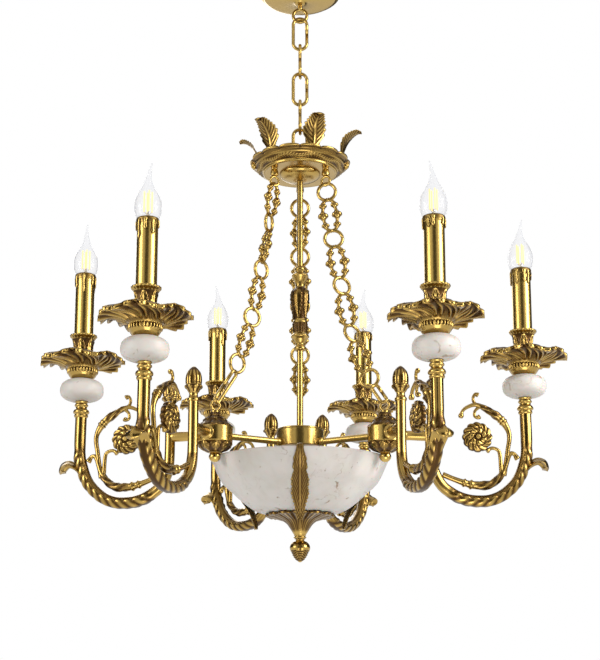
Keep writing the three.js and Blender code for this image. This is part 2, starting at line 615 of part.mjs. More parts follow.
// Bowl: the same outline outside and, one wall in, inside
function bowl() {
    const bore = boreAround(ROD_RADIUS, RUNNING_GAP, LARGE_SIDES);
    const outer = scaled(bowlShares, BOWL_RADIUS, BOWL_DEPTH);
    const inner = scaled(bowlShares, BOWL_RADIUS - BOWL_WALL, BOWL_DEPTH - BOWL_WALL);
    const raised = inner.map(([radius, height]) => [radius, height + BOWL_WALL]).reverse();
    const flat = BOWL_RADIUS * BOWL_FLAT_SHARE;
    return turned([
        [bore, 0], [flat, 0], ...outer, ...raised, [flat, BOWL_WALL], [bore, BOWL_WALL], [bore, 0],
    ], LARGE_SIDES);
}

// The height of the bowl's outline above its base at a radius
function bowlHeightAt(radius) {
    const outline = [[BOWL_FLAT_SHARE, 0], ...bowlShares];
    const share = radius / BOWL_RADIUS;
    const next = outline.findIndex(([across]) => across >= share);
    const [low, high] = [outline[next - 1], outline[next]];
    return BOWL_DEPTH * THREE.MathUtils.mapLinear(share, low[0], high[0], low[1], high[1]);
}

// Petalled cup under the bowl: it follows the bowl's outline and narrows to a neck
function bowlCup() {
    const bore = boreAround(ROD_RADIUS, SEAT_GAP, LARGE_SIDES);
    const outer = scaled(cupShares, BOWL_CUP_RADIUS, BOWL_CUP_HEIGHT);
    const flat = BOWL_RADIUS * BOWL_FLAT_SHARE;
    const firstRadius = BOWL_RADIUS * bowlShares[0][0];
    const firstRise = BOWL_DEPTH * bowlShares[0][1];
    const rimRise = bowlHeightAt(BOWL_CUP_RADIUS);
    const top = BOWL_CUP_HEIGHT;
    return turned([
        [bore, 0], ...outer, [BOWL_CUP_RADIUS, top + rimRise - BOWL_CUP_WALL],
        [BOWL_CUP_RADIUS, top + rimRise], [firstRadius, top + firstRise], [flat, top], [bore, top],
        [bore, 0],
    ], LARGE_SIDES);
}

// Bottom finial with a blind socket for the rod's lower end
function finial() {
    const bore = boreAround(ROD_RADIUS, SEAT_GAP, MEDIUM_SIDES);
    const outer = scaled(finialShares, FINIAL_RADIUS, FINIAL_HEIGHT);
    const socket = FINIAL_HEIGHT - FINIAL_SOCKET;
    return turned([...outer, [bore, FINIAL_HEIGHT], [bore, socket], [0, socket]], MEDIUM_SIDES);
}

// Points moved sideways by a distance, to the left of the way that they run
function offsetOutline(points, distance) {
    return points.map(([radius, height], i) => {
        const before = points[Math.max(i - 1, 0)];
        const after = points[Math.min(i + 1, points.length - 1)];
        const [run, rise] = [after[0] - before[0], after[1] - before[1]];
        const length = Math.hypot(run, rise);
        return [radius - (distance * rise) / length, height + (distance * run) / length];
    });
}

// A leaf that hooks over the bowl's rim, follows the bowl down and ends free
function bowlLeaf() {
    const half = BOWL_LEAF_THICKNESS / 2;
    const off = half + RUNNING_GAP;
    const down = scaled(bowlShares.slice(BOWL_LEAF_LAST), BOWL_RADIUS, BOWL_DEPTH).reverse();
    const outside = offsetOutline(down, off);
    const insideRadius = (BOWL_RADIUS - BOWL_WALL) * Math.cos(Math.PI / LARGE_SIDES) - off;
    const wallLean = (down[0][0] - down[1][0]) / (down[0][1] - down[1][1]);
    const tip = outside[outside.length - 1];
    const spine = [
        [insideRadius - BOWL_LEAF_HOOK * wallLean, BOWL_DEPTH - BOWL_LEAF_HOOK],
        [insideRadius, BOWL_DEPTH],
        [BOWL_RADIUS - BOWL_WALL, BOWL_DEPTH + off + half / 2],
        [BOWL_RADIUS, BOWL_DEPTH + off + half / 2],
        ...outside,
        [tip[0] - BOWL_LEAF_TAIL_DROP / 2, tip[1] - BOWL_LEAF_TAIL_DROP],
    ];
    return leaf(spine, BOWL_LEAF_HALF_WIDTH, half, bowlLeafSizeShares, BOWL_LEAF_STEPS);
}

// Bowl with its cup, finial and leaves
function addBowl() {
    add('bowl', bowl(), alabaster, [0, 0, bowlBaseZ]);
    add('bowl_cup', bowlCup(), brass, [0, 0, cupBaseZ]);
    add('bottom_finial', finial(), darkBrass, [0, 0, finialBaseZ]);
    BOWL_LEAF_DEGREES.forEach((azimuth, i) => {
        add(`bowl_leaf_${i + 1}`, bowlLeaf(), darkBrass, [0, 0, bowlBaseZ], azimuth);
    });
}

// One side chain in the XZ plane of its azimuth: rings and links fused where they touch
function sideChain() {
    const start = canopyBaseZ + FUSE_DEPTH - CANOPY_KNOB_HEIGHT - 2 * SIDE_EYE_RADIUS - SIDE_WIRE / 2;
    const end = spokeZ + drumEyeRise + SIDE_EYE_RADIUS;
    const endShift = SIDE_WIRE / 2 + SEAT_GAP + (SIDE_WIRE * (1 - SIDE_BITE_SHARE)) / 2;
    const [top, bottom] = [start + endShift, end - endShift];
    const { lerp } = THREE.MathUtils;
    const curve = planeCurve(sideChainShares.map(([across, down]) => [
        lerp(CANOPY_KNOB_CIRCLE, DRUM_CIRCLE, across), lerp(top, bottom, down),
    ]));
    const pair = [[ornamentLinkShare, SIDE_LINK_WIDTH], [sideRingShare, SIDE_RING_WIDTH]];
    const kinds = [[smallRingShare, SIDE_SMALL_RING_WIDTH], ...pair, ...pair, ...pair, ...pair];
    const used = kinds.reduce((sum, [share]) => sum + share, 0);
    kinds.push([1 - used, SIDE_PLAIN_LINK_WIDTH]);
    const pieces = [];
    let from = 0;
    kinds.forEach(([share, width], i) => {
        const [upper, lower] = [curve.getPointAt(from), curve.getPointAt(Math.min(from + share, 1))];
        const direction = upper.clone().sub(lower);
        const length = direction.length() + SIDE_WIRE * (1 + SIDE_BITE_SHARE);
        const wide = Math.min(width, length);
        const isEnd = i === 0 || i === kinds.length - 1;
        const turn = isEnd ? Math.PI / 2 : radians(i % 2 ? -SIDE_TURN_DEGREES : SIDE_TURN_DEGREES);
        const ring = wireLoop(length, wide, SIDE_WIRE, RING_HALF_STEPS, THIN_CORNERS).rotateZ(turn);
        const lean = Math.atan2(direction.x, direction.z);
        pieces.push(ring.rotateY(lean).translate(...upper.add(lower).multiplyScalar(1 / 2)));
        from += share;
    });
    return joined(pieces);
}

// Hub's spokes, the drums and the chains that carry them
function addDrums() {
    DRUM_DEGREES.forEach((azimuth, i) => {
        add(`spoke_${i + 1}`, spoke(), brass, [0, 0, spokeZ], azimuth);
        add(`drum_${i + 1}`, drum(), brass, onCircle(DRUM_CIRCLE, azimuth, spokeZ), azimuth);
        add(`side_chain_${i + 1}`, sideChain(), brass, [0, 0, 0], azimuth);
    });
}

// An arm in the XZ plane: stub, inner post with acorn, main tube, scrolls, rosette and candle fitting
function arm() {
    const inPlane = (shares) => scaled(shares, ARM_REACH, ARM_DEPTH);
    const path = [[ARM_POST_REACH, ARM_RISE], ...inPlane(armPathShares), [ARM_REACH, ARM_RISE]];
    const stubEnd = DRUM_RADIUS + SEAT_GAP;
    const collarEnd = stubEnd + ARM_STUB_COLLAR_LENGTH;
    const stub = turned([
        [0, stubEnd], [ARM_STUB_COLLAR_RADIUS, stubEnd], [ARM_STUB_COLLAR_RADIUS, collarEnd],
        [ARM_STUB_RADIUS, collarEnd], [ARM_STUB_RADIUS, ARM_POST_REACH], [0, ARM_POST_REACH],
    ], WIRE_CORNERS).rotateY(Math.PI / 2);
    const acorn = turned([[0, 0], ...scaled(acornShares, ACORN_RADIUS, ACORN_HEIGHT)], WIRE_CORNERS);
    const rosette = turned([
        [0, -ROSETTE_HALF_THICKNESS], [ROSETTE_RADIUS / 2, -ROSETTE_HALF_THICKNESS],
        [ROSETTE_RADIUS, 0], [ROSETTE_RADIUS / 2, ROSETTE_HALF_THICKNESS], [0, ROSETTE_HALF_THICKNESS],
    ], SMALL_SIDES).rotateX(Math.PI / 2);
    const curlPath = inPlane(outerCurlShares);
    const curl = leaf(curlPath, CURL_HALF_WIDTH, CURL_HALF_THICKNESS, outerCurlSizeShares, LEAF_STEPS);
    return joined([
        bar(path, ARM_TUBE_RADIUS, ARM_STEPS, WIRE_CORNERS),
        stub,
        acorn.translate(ARM_POST_REACH, 0, ARM_RISE - FUSE_DEPTH),
        bar(inPlane(innerScrollShares), SCROLL_RADIUS, SCROLL_STEPS, THIN_CORNERS, innerScrollSizeShares),
        bar(inPlane(bigScrollShares), BRANCH_RADIUS, SCROLL_STEPS, THIN_CORNERS, bigScrollSizeShares),
        bar(inPlane(rosetteStemShares), BRANCH_RADIUS, BUD_STEPS, THIN_CORNERS, stemSizeShares),
        bar(inPlane(topBudShares), BUD_RADIUS, BUD_STEPS, THIN_CORNERS),
        bar(inPlane(innerBudShares), BUD_RADIUS, BUD_STEPS, THIN_CORNERS),
        rosette.translate(ROSETTE_REACH_SHARE * ARM_REACH, 0, 0),
        curl,
        candleFitting(),
    ]);
}

// Collars, the nipple that runs up through knob and pan, and the lampholder on its top
function candleFitting() {
    const start = ARM_RISE - FUSE_DEPTH;
    const collars = scaled(collarShares, COLLAR_RADIUS, COLLAR_HEIGHT);
    const holderTop = sleeveBaseRise + SLEEVE_HEIGHT - LAMPHOLDER_DROP;
    const holderBase = holderTop - LAMPHOLDER_HEIGHT;
    const bore = boreAround(LAMP_BASE_RADIUS, RUNNING_GAP, WIRE_CORNERS);
    const boreBase = holderTop - LAMP_BASE_LENGTH - SEAT_GAP;
    return turned([
        [0, start], ...collars.map(([radius, height]) => [radius, height + ARM_RISE]),
        [NIPPLE_RADIUS, ARM_RISE + COLLAR_HEIGHT], [NIPPLE_RADIUS, holderBase + ARM_RISE],
        [LAMPHOLDER_RADIUS, holderBase + ARM_RISE], [LAMPHOLDER_RADIUS, holderTop + ARM_RISE],
        [bore, holderTop + ARM_RISE], [bore, boreBase + ARM_RISE], [0, boreBase + ARM_RISE],
    ], WIRE_CORNERS).translate(ARM_REACH, 0, 0);
}

// Drip pan: foot, cup for the sleeve, and a rim of six leaves whose tips droop, the first at +X
function dripPan() {
    const bore = boreAround(NIPPLE_RADIUS, SEAT_GAP, PAN_SIDES);
    const cupInner = boreAround(SLEEVE_RADIUS, SEAT_GAP, PAN_SIDES);
    const under = scaled(panShares, PAN_RADIUS, PAN_RIM_RISE);
    const [, [midRadius, midRise]] = under;
    const body = turned([
        [bore, 0], [PAN_FOOT_RADIUS, 0], ...under, [midRadius, midRise + PAN_THICKNESS],
        [PAN_NECK_RADIUS, PAN_NECK_RISE], [PAN_NECK_RADIUS, PAN_CUP_BASE_RISE],
        [PAN_CUP_RIM_RADIUS, PAN_CUP_RIM_RISE], [cupInner, PAN_CUP_RIM_RISE],
        [cupInner, PAN_CUP_FLOOR_RISE], [bore, PAN_CUP_FLOOR_RISE], [bore, 0],
    ], PAN_SIDES);
    const place = body.attributes.position;
    for (let i = 0; i < place.count; i += 1) {
        const [x, y, z] = [place.getX(i), place.getY(i), place.getZ(i)];
        const beyondCup = Math.max(Math.hypot(x, y) - PAN_CUP_RIM_RADIUS, 0);
        const out = beyondCup / (PAN_RADIUS - PAN_CUP_RIM_RADIUS);
        const isSeam = Math.round((Math.atan2(y, x) * PAN_SIDES) / (2 * Math.PI)) % 2 !== 0;
        const pull = isSeam ? 1 - PAN_SEAM_PULL_SHARE * out ** 2 : 1;
        place.setXYZ(i, x * pull, y * pull, z + out ** 2 * (isSeam ? PAN_SEAM_RISE : -PAN_TIP_DROOP));
    }
    return body;
}

// Candle sleeve: an open tube with a thicker lip of drips at its top
function candleSleeve() {
    const inner = SLEEVE_RADIUS - SLEEVE_WALL;
    const lip = SLEEVE_HEIGHT - SLEEVE_LIP_HEIGHT;
    return turned([
        [inner, 0], [SLEEVE_RADIUS, 0], [SLEEVE_RADIUS, lip],
        [SLEEVE_LIP_RADIUS, SLEEVE_HEIGHT - SLEEVE_WALL],
        [SLEEVE_RADIUS, SLEEVE_HEIGHT], [inner, SLEEVE_HEIGHT], [inner, 0],
    ], MEDIUM_SIDES);
}

// Flame bulb: a screw base, a round belly and a tip that leans towards +X
function bulb() {
    const glassProfile = scaled(bulbShares, BULB_RADIUS, BULB_HEIGHT);
    const top = glassProfile[glassProfile.length - 1][1];
    const body = turned([
        [0, -LAMP_BASE_LENGTH], [LAMP_BASE_RADIUS, -LAMP_BASE_LENGTH], [LAMP_BASE_RADIUS, 0],
        ...glassProfile, [0, top],
    ], SMALL_SIDES);
    const place = body.attributes.position;
    for (let i = 0; i < place.count; i += 1) {
        const share = Math.max(place.getZ(i) / BULB_HEIGHT, 0);
        place.setX(i, place.getX(i) + BULB_TIP_LEAN * along(bulbLeanShares, share));
    }
    return body;
}

// The six arms and what stands on each
function addArms() {
    const casting = arm();
    const knobBore = boreAround(NIPPLE_RADIUS, SEAT_GAP, MEDIUM_SIDES);
    const knob = turnedWithBore(scaled(knobShares, KNOB_RADIUS, KNOB_HEIGHT), knobBore, MEDIUM_SIDES);
    const [pan, sleeve, flame] = [dripPan(), candleSleeve(), bulb()];
    let number = 0;
    DRUM_DEGREES.forEach((azimuth, i) => {
        for (const side of [-1, 1]) {
            number += 1;
            const heading = azimuth + ARM_PAIR_DEGREES[i] + side * ARM_HALF_SPREAD_DEGREES[i];
            const [x, y] = onCircle(DRUM_CIRCLE, azimuth, 0);
            const [reachX, reachY] = onCircle(ARM_REACH, heading, 0);
            const seat = (rise) => [x + reachX, y + reachY, candleSeatZ + rise];
            add(`arm_${number}`, casting, brass, [x, y, spokeZ], heading);
            add(`knob_${number}`, knob, alabaster, seat(knobBaseRise), heading);
            add(`drip_pan_${number}`, pan, brass, seat(panBaseRise), PAN_TIP_DEGREES);
            add(`candle_sleeve_${number}`, sleeve, brass, seat(sleeveBaseRise), heading);
            add(`bulb_${number}`, flame, glass, seat(bulbSeatRise), BULB_LEAN_DEGREES[number - 1]);
        }
    });
}

addSuspension();
addCanopy();
addStem();
addDrums();
addBowl();
addArms();

export default lamp;
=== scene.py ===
# %% [markdown]
# # A six-light brass chandelier with an alabaster bowl
#
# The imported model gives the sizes, the places and what moves. This script dresses it: every casting,
# chain, leaf and bulb is a surface worked out with numpy, and every finish is a small shader built from
# expressions. Such a lamp could be sculpted by hand, but its ornament repeats, so a formula for one leaf
# or one link, carried round an axis or along a path, gives all.

# %% Load the frame
import json
import math

import bpy
import numpy as np
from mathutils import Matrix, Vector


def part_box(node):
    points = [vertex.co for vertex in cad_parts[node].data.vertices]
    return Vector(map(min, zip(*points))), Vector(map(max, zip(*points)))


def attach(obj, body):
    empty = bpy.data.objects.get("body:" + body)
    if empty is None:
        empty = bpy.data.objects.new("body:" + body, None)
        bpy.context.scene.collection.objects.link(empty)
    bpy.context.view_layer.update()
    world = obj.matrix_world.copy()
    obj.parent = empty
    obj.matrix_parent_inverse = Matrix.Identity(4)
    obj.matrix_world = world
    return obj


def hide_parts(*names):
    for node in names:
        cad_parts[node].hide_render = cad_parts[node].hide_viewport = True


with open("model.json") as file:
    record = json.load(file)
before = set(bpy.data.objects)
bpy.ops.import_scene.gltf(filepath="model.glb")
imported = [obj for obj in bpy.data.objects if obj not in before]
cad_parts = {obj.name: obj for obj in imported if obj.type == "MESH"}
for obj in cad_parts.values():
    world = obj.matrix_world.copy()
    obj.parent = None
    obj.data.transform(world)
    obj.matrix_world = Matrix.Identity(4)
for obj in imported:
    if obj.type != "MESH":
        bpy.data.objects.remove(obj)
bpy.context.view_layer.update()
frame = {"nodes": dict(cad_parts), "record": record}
MM = 0.001
TURN = 2 * np.pi
joints = {joint["name"]: joint for joint in frame["record"]["behaviour"]["joints"]}
print("nodes:", len(frame["nodes"]), "joints:", len(joints))

# %% [markdown]
# ## Reading places from the model
#
# The bulbs' hinges lie on the candles' axes, and a drum's box is centred on its own axis, so the six arms'
# places and headings come from those. Heights are read from the boxes of the nodes. They could be written
# here again, but read ones stay right when the model changes. Lengths here are in millimetres, and one
# function turns them to metres when a mesh is made.

# %% Heights and places
def low(node):
    """A node's lowest corner in millimetres."""
    return np.array(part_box(node)[0]) / MM


def high(node):
    """A node's highest corner in millimetres."""
    return np.array(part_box(node)[1]) / MM


def middle(node):
    """The middle of a node's box in millimetres."""
    return (low(node) + high(node)) / 2


ARMS = range(1, 7)
DRUMS = range(1, 4)
drum_of_arm = {arm: (arm + 1) // 2 for arm in ARMS}
candle_axis = {arm: np.array(joints[f"bulb_screw_{arm}"]["pos_m"]) / MM for arm in ARMS}
drum_axis = {drum: middle(f"drum_{drum}") for drum in DRUMS}
drum_azimuth = {drum: math.atan2(place[0], -place[1]) for drum, place in drum_axis.items()}
spoke_z = middle("spoke_1")[2]
knob_z = (low("knob_1")[2], high("knob_1")[2])
pan_z = low("drip_pan_1")[2]
sleeve_z = (low("candle_sleeve_1")[2], high("candle_sleeve_1")[2])
print("spokes at", round(spoke_z, 1), "pans at", round(pan_z, 1))

# %% [markdown]
# ## The camera
#
# The photo is taken from low down with a level camera whose frame is shifted up. Its distance and height
# come from the places of the six candles in the photo, and the lens from its scale. A camera that is
# turned up a little and shifted a little less gives nearly the same picture, and keeps the lamp in the
# frame from other sides too.

# %% Camera
CAMERA_DISTANCE_M = 1.82
CAMERA_HEIGHT_M = -1.011
CAMERA_PITCH_DEG = 11.05
CAMERA_LENS_MM = 73.0
CAMERA_SHIFT = 0.15
camera = bpy.data.objects.new("camera", bpy.data.cameras.new("camera"))
bpy.context.scene.collection.objects.link(camera)
camera.location = (0, -CAMERA_DISTANCE_M, CAMERA_HEIGHT_M)
camera.rotation_euler = (math.radians(90 + CAMERA_PITCH_DEG), 0, 0)
camera.data.lens = CAMERA_LENS_MM
camera.data.shift_y = CAMERA_SHIFT
bpy.context.scene.camera = camera
bpy.context.scene.view_settings.view_transform = "Standard"
print("camera at", CAMERA_DISTANCE_M, "m, lens", CAMERA_LENS_MM, "mm, shifted by", CAMERA_SHIFT)

# %% [markdown]
# ## Shader maths as expressions
#
# A mask could be wired by hand in the shader editor, which is slow to read back. Here a field is one
# output of a shader node, and its operators add Math nodes, so a mask is written as it would be in
# ordinary code. One method adds any other node.

# %% Field and finish classes
class Field:
    """A shader socket with arithmetic."""

    def __init__(self, finish, socket):
        self.finish = finish
        self.socket = socket

    def maths(self, operation, *others):
        """A Math node on this field and others."""
        return self.finish.node("ShaderNodeMath", {"operation": operation}, dict(enumerate((self, *others))))

    def __add__(self, other):
        return self.maths("ADD", other)

    def __sub__(self, other):
        return self.maths("SUBTRACT", other)

    def __rsub__(self, other):
        return self.finish.node("ShaderNodeMath", {"operation": "SUBTRACT"}, {0: other, 1: self})

    def __mul__(self, other):
        return self.maths("MULTIPLY", other)

    def __pow__(self, other):
        return self.maths("POWER", other)

    def clipped(self):
        """The field kept within 0 and 1."""
        return self.finish.node("ShaderNodeClamp", {}, {"Value": self})

    __radd__ = __add__
    __rmul__ = __mul__


class Finish:
    """A material whose shader is the Principled one."""

    def __init__(self, name, **values):
        self.material = bpy.data.materials.new(name)
        self.material.use_nodes = True
        self.tree = self.material.node_tree
        self.shader = self.tree.nodes["Principled BSDF"]
        self.set(**values)

    def set(self, **values):
        """Sets or links sockets of the shader, with underscores for the spaces in their names."""
        for name, value in values.items():
            self.feed(self.shader.inputs[name.replace("_", " ")], value)

    def feed(self, socket, value):
        """Links a field to a socket, or sets a constant there."""
        if isinstance(value, Field):
            self.tree.links.new(value.socket, socket)
        else:
            socket.default_value = value

    def node(self, kind, settings, inputs, output=0):
        """Adds a node: its settings first, then the values or links of its sockets."""
        node = self.tree.nodes.new(kind)
        for name, value in settings.items():
            setattr(node, name, value)
        for name, value in inputs.items():
            self.feed(node.inputs[name], value)
        return Field(self, node.outputs[output])

    def noise(self, scale, detail=3.0, distortion=0.0):
        """A noise on object coordinates, which are in metres."""
        place = self.node("ShaderNodeTexCoord", {}, {}, "Object")
        inputs = {"Vector": place, "Scale": scale, "Detail": detail, "Distortion": distortion}
        return self.node("ShaderNodeTexNoise", {}, inputs)

    def attribute(self, name):
        """A value that the mesh carries on its points."""
        return self.node("ShaderNodeAttribute", {"attribute_name": name}, {}, "Fac")

    def between(self, mask, first, second):
        """A colour between two colours."""
        return self.node("ShaderNodeMix", {"data_type": "RGBA"}, {0: mask, 6: first, 7: second}, 2)

    def ramp(self, value, start, end):
        """0 below start, 1 above end, and a smooth step between."""
        limits = {"Value": value, "From Min": start, "From Max": end}
        return self.node("ShaderNodeMapRange", {"interpolation_type": "SMOOTHSTEP"}, limits)

    def bump(self, height, distance):
        """A normal tilted by a height field; distance is its height in metres."""
        return self.node("ShaderNodeBump", {}, {"Height": height, "Distance": distance})


# %% [markdown]
# ## Brass
#
# The castings are lacquered brass with a brown patina that stays in the hollows and is wiped off the high
# spots. It could be painted as a picture, but then it would have to be matched to the carving. Here each
# mesh carries how deep its surface lies in an attribute, so the patina follows the carving by itself, and
# soft noises break it up. The same brown is also painted shade: the strips beside the candle drips and the
# canopy's cove are given a depth for it. The turned tubes are paler, and the balls below the drums are
# polished.

# %% Brass finishes
PALE_GOLD = (0.43, 0.287, 0.074, 1)
GOLD = (0.38, 0.25, 0.06, 1)
CAST_GOLD = (0.41, 0.27, 0.07, 1)
OLD_GOLD = (0.22, 0.132, 0.03, 1)
PATINA_AND_SHADE = (0.062, 0.029, 0.005, 1)


def brass(name, bright, dull, roughness, grain=0.0):
    """Brass whose colour and gloss follow the attribute 'depth': 0 on a high spot, 1 in a hollow."""
    finish = Finish(name, Metallic=1.0, Coat_Weight=0.16, Coat_Roughness=0.2)
    depth = finish.attribute("depth")
    mottle = finish.noise(160.0, 4.0)
    # The patina mask also carries painted shade wherever a mesh is given a high depth for it.
    patina_and_shade = finish.ramp(depth + (mottle - 0.5) * 0.22, 0.2, 0.8)
    unworn = finish.ramp(depth + (finish.noise(38.0, 2.0) - 0.5) * 0.35, 0.05, 0.4)
    base = finish.between(unworn, bright, dull)
    finish.set(Base_Color=finish.between(patina_and_shade, base, PATINA_AND_SHADE))
    finish.set(Roughness=roughness + patina_and_shade * 0.22 + (mottle - 0.5) * 0.06)
    if grain:
        finish.set(Normal=finish.bump(finish.noise(900.0, 2.0), grain))
    return finish.material


satin_brass = brass("satin brass", PALE_GOLD, GOLD, 0.26)
cast_brass = brass("cast brass", CAST_GOLD, OLD_GOLD, 0.22, 0.000004)
polished_brass = brass("polished brass", PALE_GOLD, PALE_GOLD, 0.08)
for slot in bpy.data.objects["centre_rod"].material_slots:
    slot.material = cast_brass
print("brass finishes:", satin_brass.name, cast_brass.name, polished_brass.name)

# %% [markdown]
# ## Alabaster
#
# The bowl and the knobs are a milky stone with thin brown veins, grey clouds and a few dark specks. Veins
# are the middle lines of a twisted noise: the distance from the middle of its range makes a thin line
# where it crosses. A picture of stone would show a seam on a round bowl, while a noise in object
# coordinates runs right through it, as in the real block. A little subsurface light keeps the edges soft.

# %% Alabaster finish
MILK = (0.70, 0.66, 0.61, 1)
CLOUD = (0.60, 0.55, 0.49, 1)
VEIN = (0.30, 0.20, 0.12, 1)


def vein_lines(finish, scale, width):
    """1 on the line where a twisted noise crosses its middle, 0 away from it."""
    wander = finish.noise(scale, 5.0, 1.2)
    away = (wander - 0.5).maths("ABSOLUTE")
    return 1 - finish.ramp(away, 0.0, width)


def stone():
    """Milky stone: clouds and mottling first, then veins, threads, specks and bruises in brown."""
    finish = Finish("alabaster", Roughness=0.5, Coat_Weight=0.06, Coat_Roughness=0.2)
    cloud = finish.ramp(finish.noise(14.0, 4.0, 0.6), 0.42, 0.72)
    patch = finish.ramp(finish.noise(13.0, 3.0), 0.5, 0.66)
    veins = vein_lines(finish, 15.0, 0.016) * patch
    threads = vein_lines(finish, 34.0, 0.02) * finish.ramp(finish.noise(21.0, 2.0), 0.52, 0.7)
    crowd = finish.ramp(finish.noise(26.0, 2.0), 0.56, 0.68)
    specks = finish.ramp(finish.noise(300.0, 2.0), 0.66, 0.72) * crowd
    mottle = finish.ramp(finish.noise(70.0, 5.0, 0.5), 0.35, 0.75)
    bruises = finish.ramp(finish.noise(58.0, 6.0, 1.0), 0.635, 0.71)
    colour = finish.between(cloud * 0.55 + mottle * 0.35, MILK, CLOUD)
    brown = (veins * 0.55 + threads * 0.4 + specks * 0.7 + bruises * 0.8).clipped()
    colour = finish.between(brown, colour, VEIN)
    finish.set(Base_Color=colour, Subsurface_Weight=0.25, Subsurface_Scale=0.006)
    return finish.material


alabaster = stone()
print("stone finish with", len(alabaster.node_tree.nodes), "nodes")

# %% [markdown]
# ## Glass and filaments
#
# A bulb is a thin shell of clear glass. So thin a wall hardly bends the light, so it isn't refracted here:
# the wall is see-through where one looks straight at it, and greyer towards its edge. The filaments get
# a little emission, a painted glow that keeps their yellow phosphor bright although the lamp is off.

# %% Glass and filament finishes
def thin_glass():
    """Nearly clear where one looks straight through the wall, and greyer towards its edge."""
    finish = Finish("clear glass", Base_Color=(0.55, 0.56, 0.63, 1), Roughness=0.04, Coat_Weight=0.6)
    facing = finish.node("ShaderNodeLayerWeight", {}, {"Blend": 0.5}, "Facing")
    finish.set(Alpha=facing ** 3.0 * 0.42 + 0.05)
    return finish.material


glass = thin_glass()
# The emission is a painted glow: the lamp is off, and it keeps the phosphor bright.
filament = Finish("filament phosphor", Base_Color=(0.95, 0.72, 0.25, 1), Roughness=0.6,
                  Emission_Color=(1.0, 0.76, 0.28, 1), Emission_Strength=0.75).material
wire_steel = Finish("support wire", Base_Color=(0.55, 0.53, 0.5, 1), Metallic=1.0, Roughness=0.3).material
print("bulb finishes:", glass.name, filament.name, wire_steel.name)

# %% [markdown]
# ## Surfaces from grids
#
# Every piece is made of closed tubes of points: a stack of rings, each ring going once round the surface,
# with a point at each end that closes it. A turned piece, a bent bar and a leaf are all such stacks.
# Blender's Screw and Curve tools make them too, but whole arrays are quick, take any relief, and carry a
# depth for each point. The faces are turned over where the closed volume comes out negative.

# %% Grid helpers
def faces_of(rows, columns):
    """Quads between neighbouring rings, and a fan of triangles at each end."""
    row, column = np.meshgrid(np.arange(rows - 1), np.arange(columns), indexing="ij")
    after = (column + 1) % columns
    quads = np.stack([row * columns + column, row * columns + after, (row + 1) * columns + after,
                      (row + 1) * columns + column], -1).reshape(-1, 4)
    ring = np.arange(columns)
    first, last = rows * columns, rows * columns + 1
    start = np.stack([np.full(columns, first), (ring + 1) % columns, ring], -1)
    top = (rows - 1) * columns
    end = np.stack([np.full(columns, last), top + ring, top + (ring + 1) % columns], -1)
    return quads, np.concatenate([start, end])


def outward(points, quads, fans):
    """Turns the faces over where the surface encloses a negative volume."""
    def volume(faces):
        a, b, c = (points[faces[:, i]] for i in range(3))
        return np.einsum("ij,ij->", a, np.cross(b, c))

    total = volume(quads[:, :3]) + volume(quads[:, [0, 2, 3]]) + volume(fans)
    return (quads, fans) if total > 0 else (quads[:, ::-1], fans[:, ::-1])


def turn_about_z(angle):
    """The matrix of a turn about Z."""
    cos, sin = math.cos(angle), math.sin(angle)
    return np.array([[cos, -sin, 0], [sin, cos, 0], [0, 0, 1]])

# %% [markdown]
# ## A shell gathers tubes
#
# A cast piece is often many closed tubes that touch, as an arm is of rods, leaves and bosses. A shell
# keeps their points, faces and depths, can be copied to a place, and makes one mesh at the end. Joining
# arrays is faster than joining objects, and the pieces stay few.

# %% The shell class
class Shell:
    """Closed tubes gathered for one piece: their points, faces and depths."""

    def __init__(self):
        self.points, self.quads, self.fans, self.depths, self.count = [], [], [], [], 0

    def add(self, grid, depth=0.0):
        """Adds a grid of rings (rows, columns, 3) with a depth for each point."""
        rows, columns, _ = grid.shape
        ends = np.stack([grid[0].mean(0), grid[-1].mean(0)])
        points = np.concatenate([grid.reshape(-1, 3), ends])
        quads, fans = outward(points, *faces_of(rows, columns))
        depths = np.broadcast_to(depth, (rows, columns))
        self.points.append(points)
        self.quads.append(quads + self.count)
        self.fans.append(fans + self.count)
        self.depths.append(np.concatenate([depths.ravel(), [depths[0].mean(), depths[-1].mean()]]))
        self.count += len(points)
        return self

    def moved(self, origin=(0, 0, 0), azimuth=math.pi / 2):
        """A copy turned so that local +X looks at an azimuth, then moved."""
        turn = turn_about_z(azimuth - math.pi / 2)
        copy = Shell()
        copy.points = [points @ turn.T + np.asarray(origin) for points in self.points]
        copy.quads, copy.fans, copy.depths, copy.count = self.quads, self.fans, self.depths, self.count
        return copy

    def joined(self, other):
        """Adds another shell's tubes to this one."""
        self.points += other.points
        self.quads += [quads + self.count for quads in other.quads]
        self.fans += [fans + self.count for fans in other.fans]
        self.depths += other.depths
        self.count += other.count
        return self

    def laid(self):
        """A copy whose axis, which was Z, lies along X."""
        copy = self.moved()
        copy.points = [points[:, [2, 1, 0]] * (1, 1, -1) for points in self.points]
        return copy

    def make(self, name, material, slot, node=None, body="frame"):
        """Makes the object in metres, smooth, riding on a body, in place of a node of the model."""
        points = np.concatenate(self.points) * MM
        quads, fans = np.concatenate(self.quads), np.concatenate(self.fans)
        mesh = bpy.data.meshes.new(name)
        mesh.vertices.add(len(points))
        mesh.vertices.foreach_set("co", points.ravel())
        mesh.loops.add(quads.size + fans.size)
        mesh.loops.foreach_set("vertex_index", np.concatenate([quads.ravel(), fans.ravel()]))
        mesh.polygons.add(len(quads) + len(fans))
        starts = np.concatenate([np.arange(len(quads)) * 4, quads.size + np.arange(len(fans)) * 3])
        mesh.polygons.foreach_set("loop_start", starts)
        mesh.polygons.foreach_set("use_smooth", np.ones(len(starts), bool))
        mesh.attributes.new("depth", "FLOAT", "POINT").data.foreach_set("value", np.concatenate(self.depths))
        mesh.update(calc_edges=True)
        mesh.materials.append(material)
        piece = bpy.data.objects.new(name, mesh)
        bpy.context.scene.collection.objects.link(piece)
        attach(piece, body)
        if node:
            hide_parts(node)

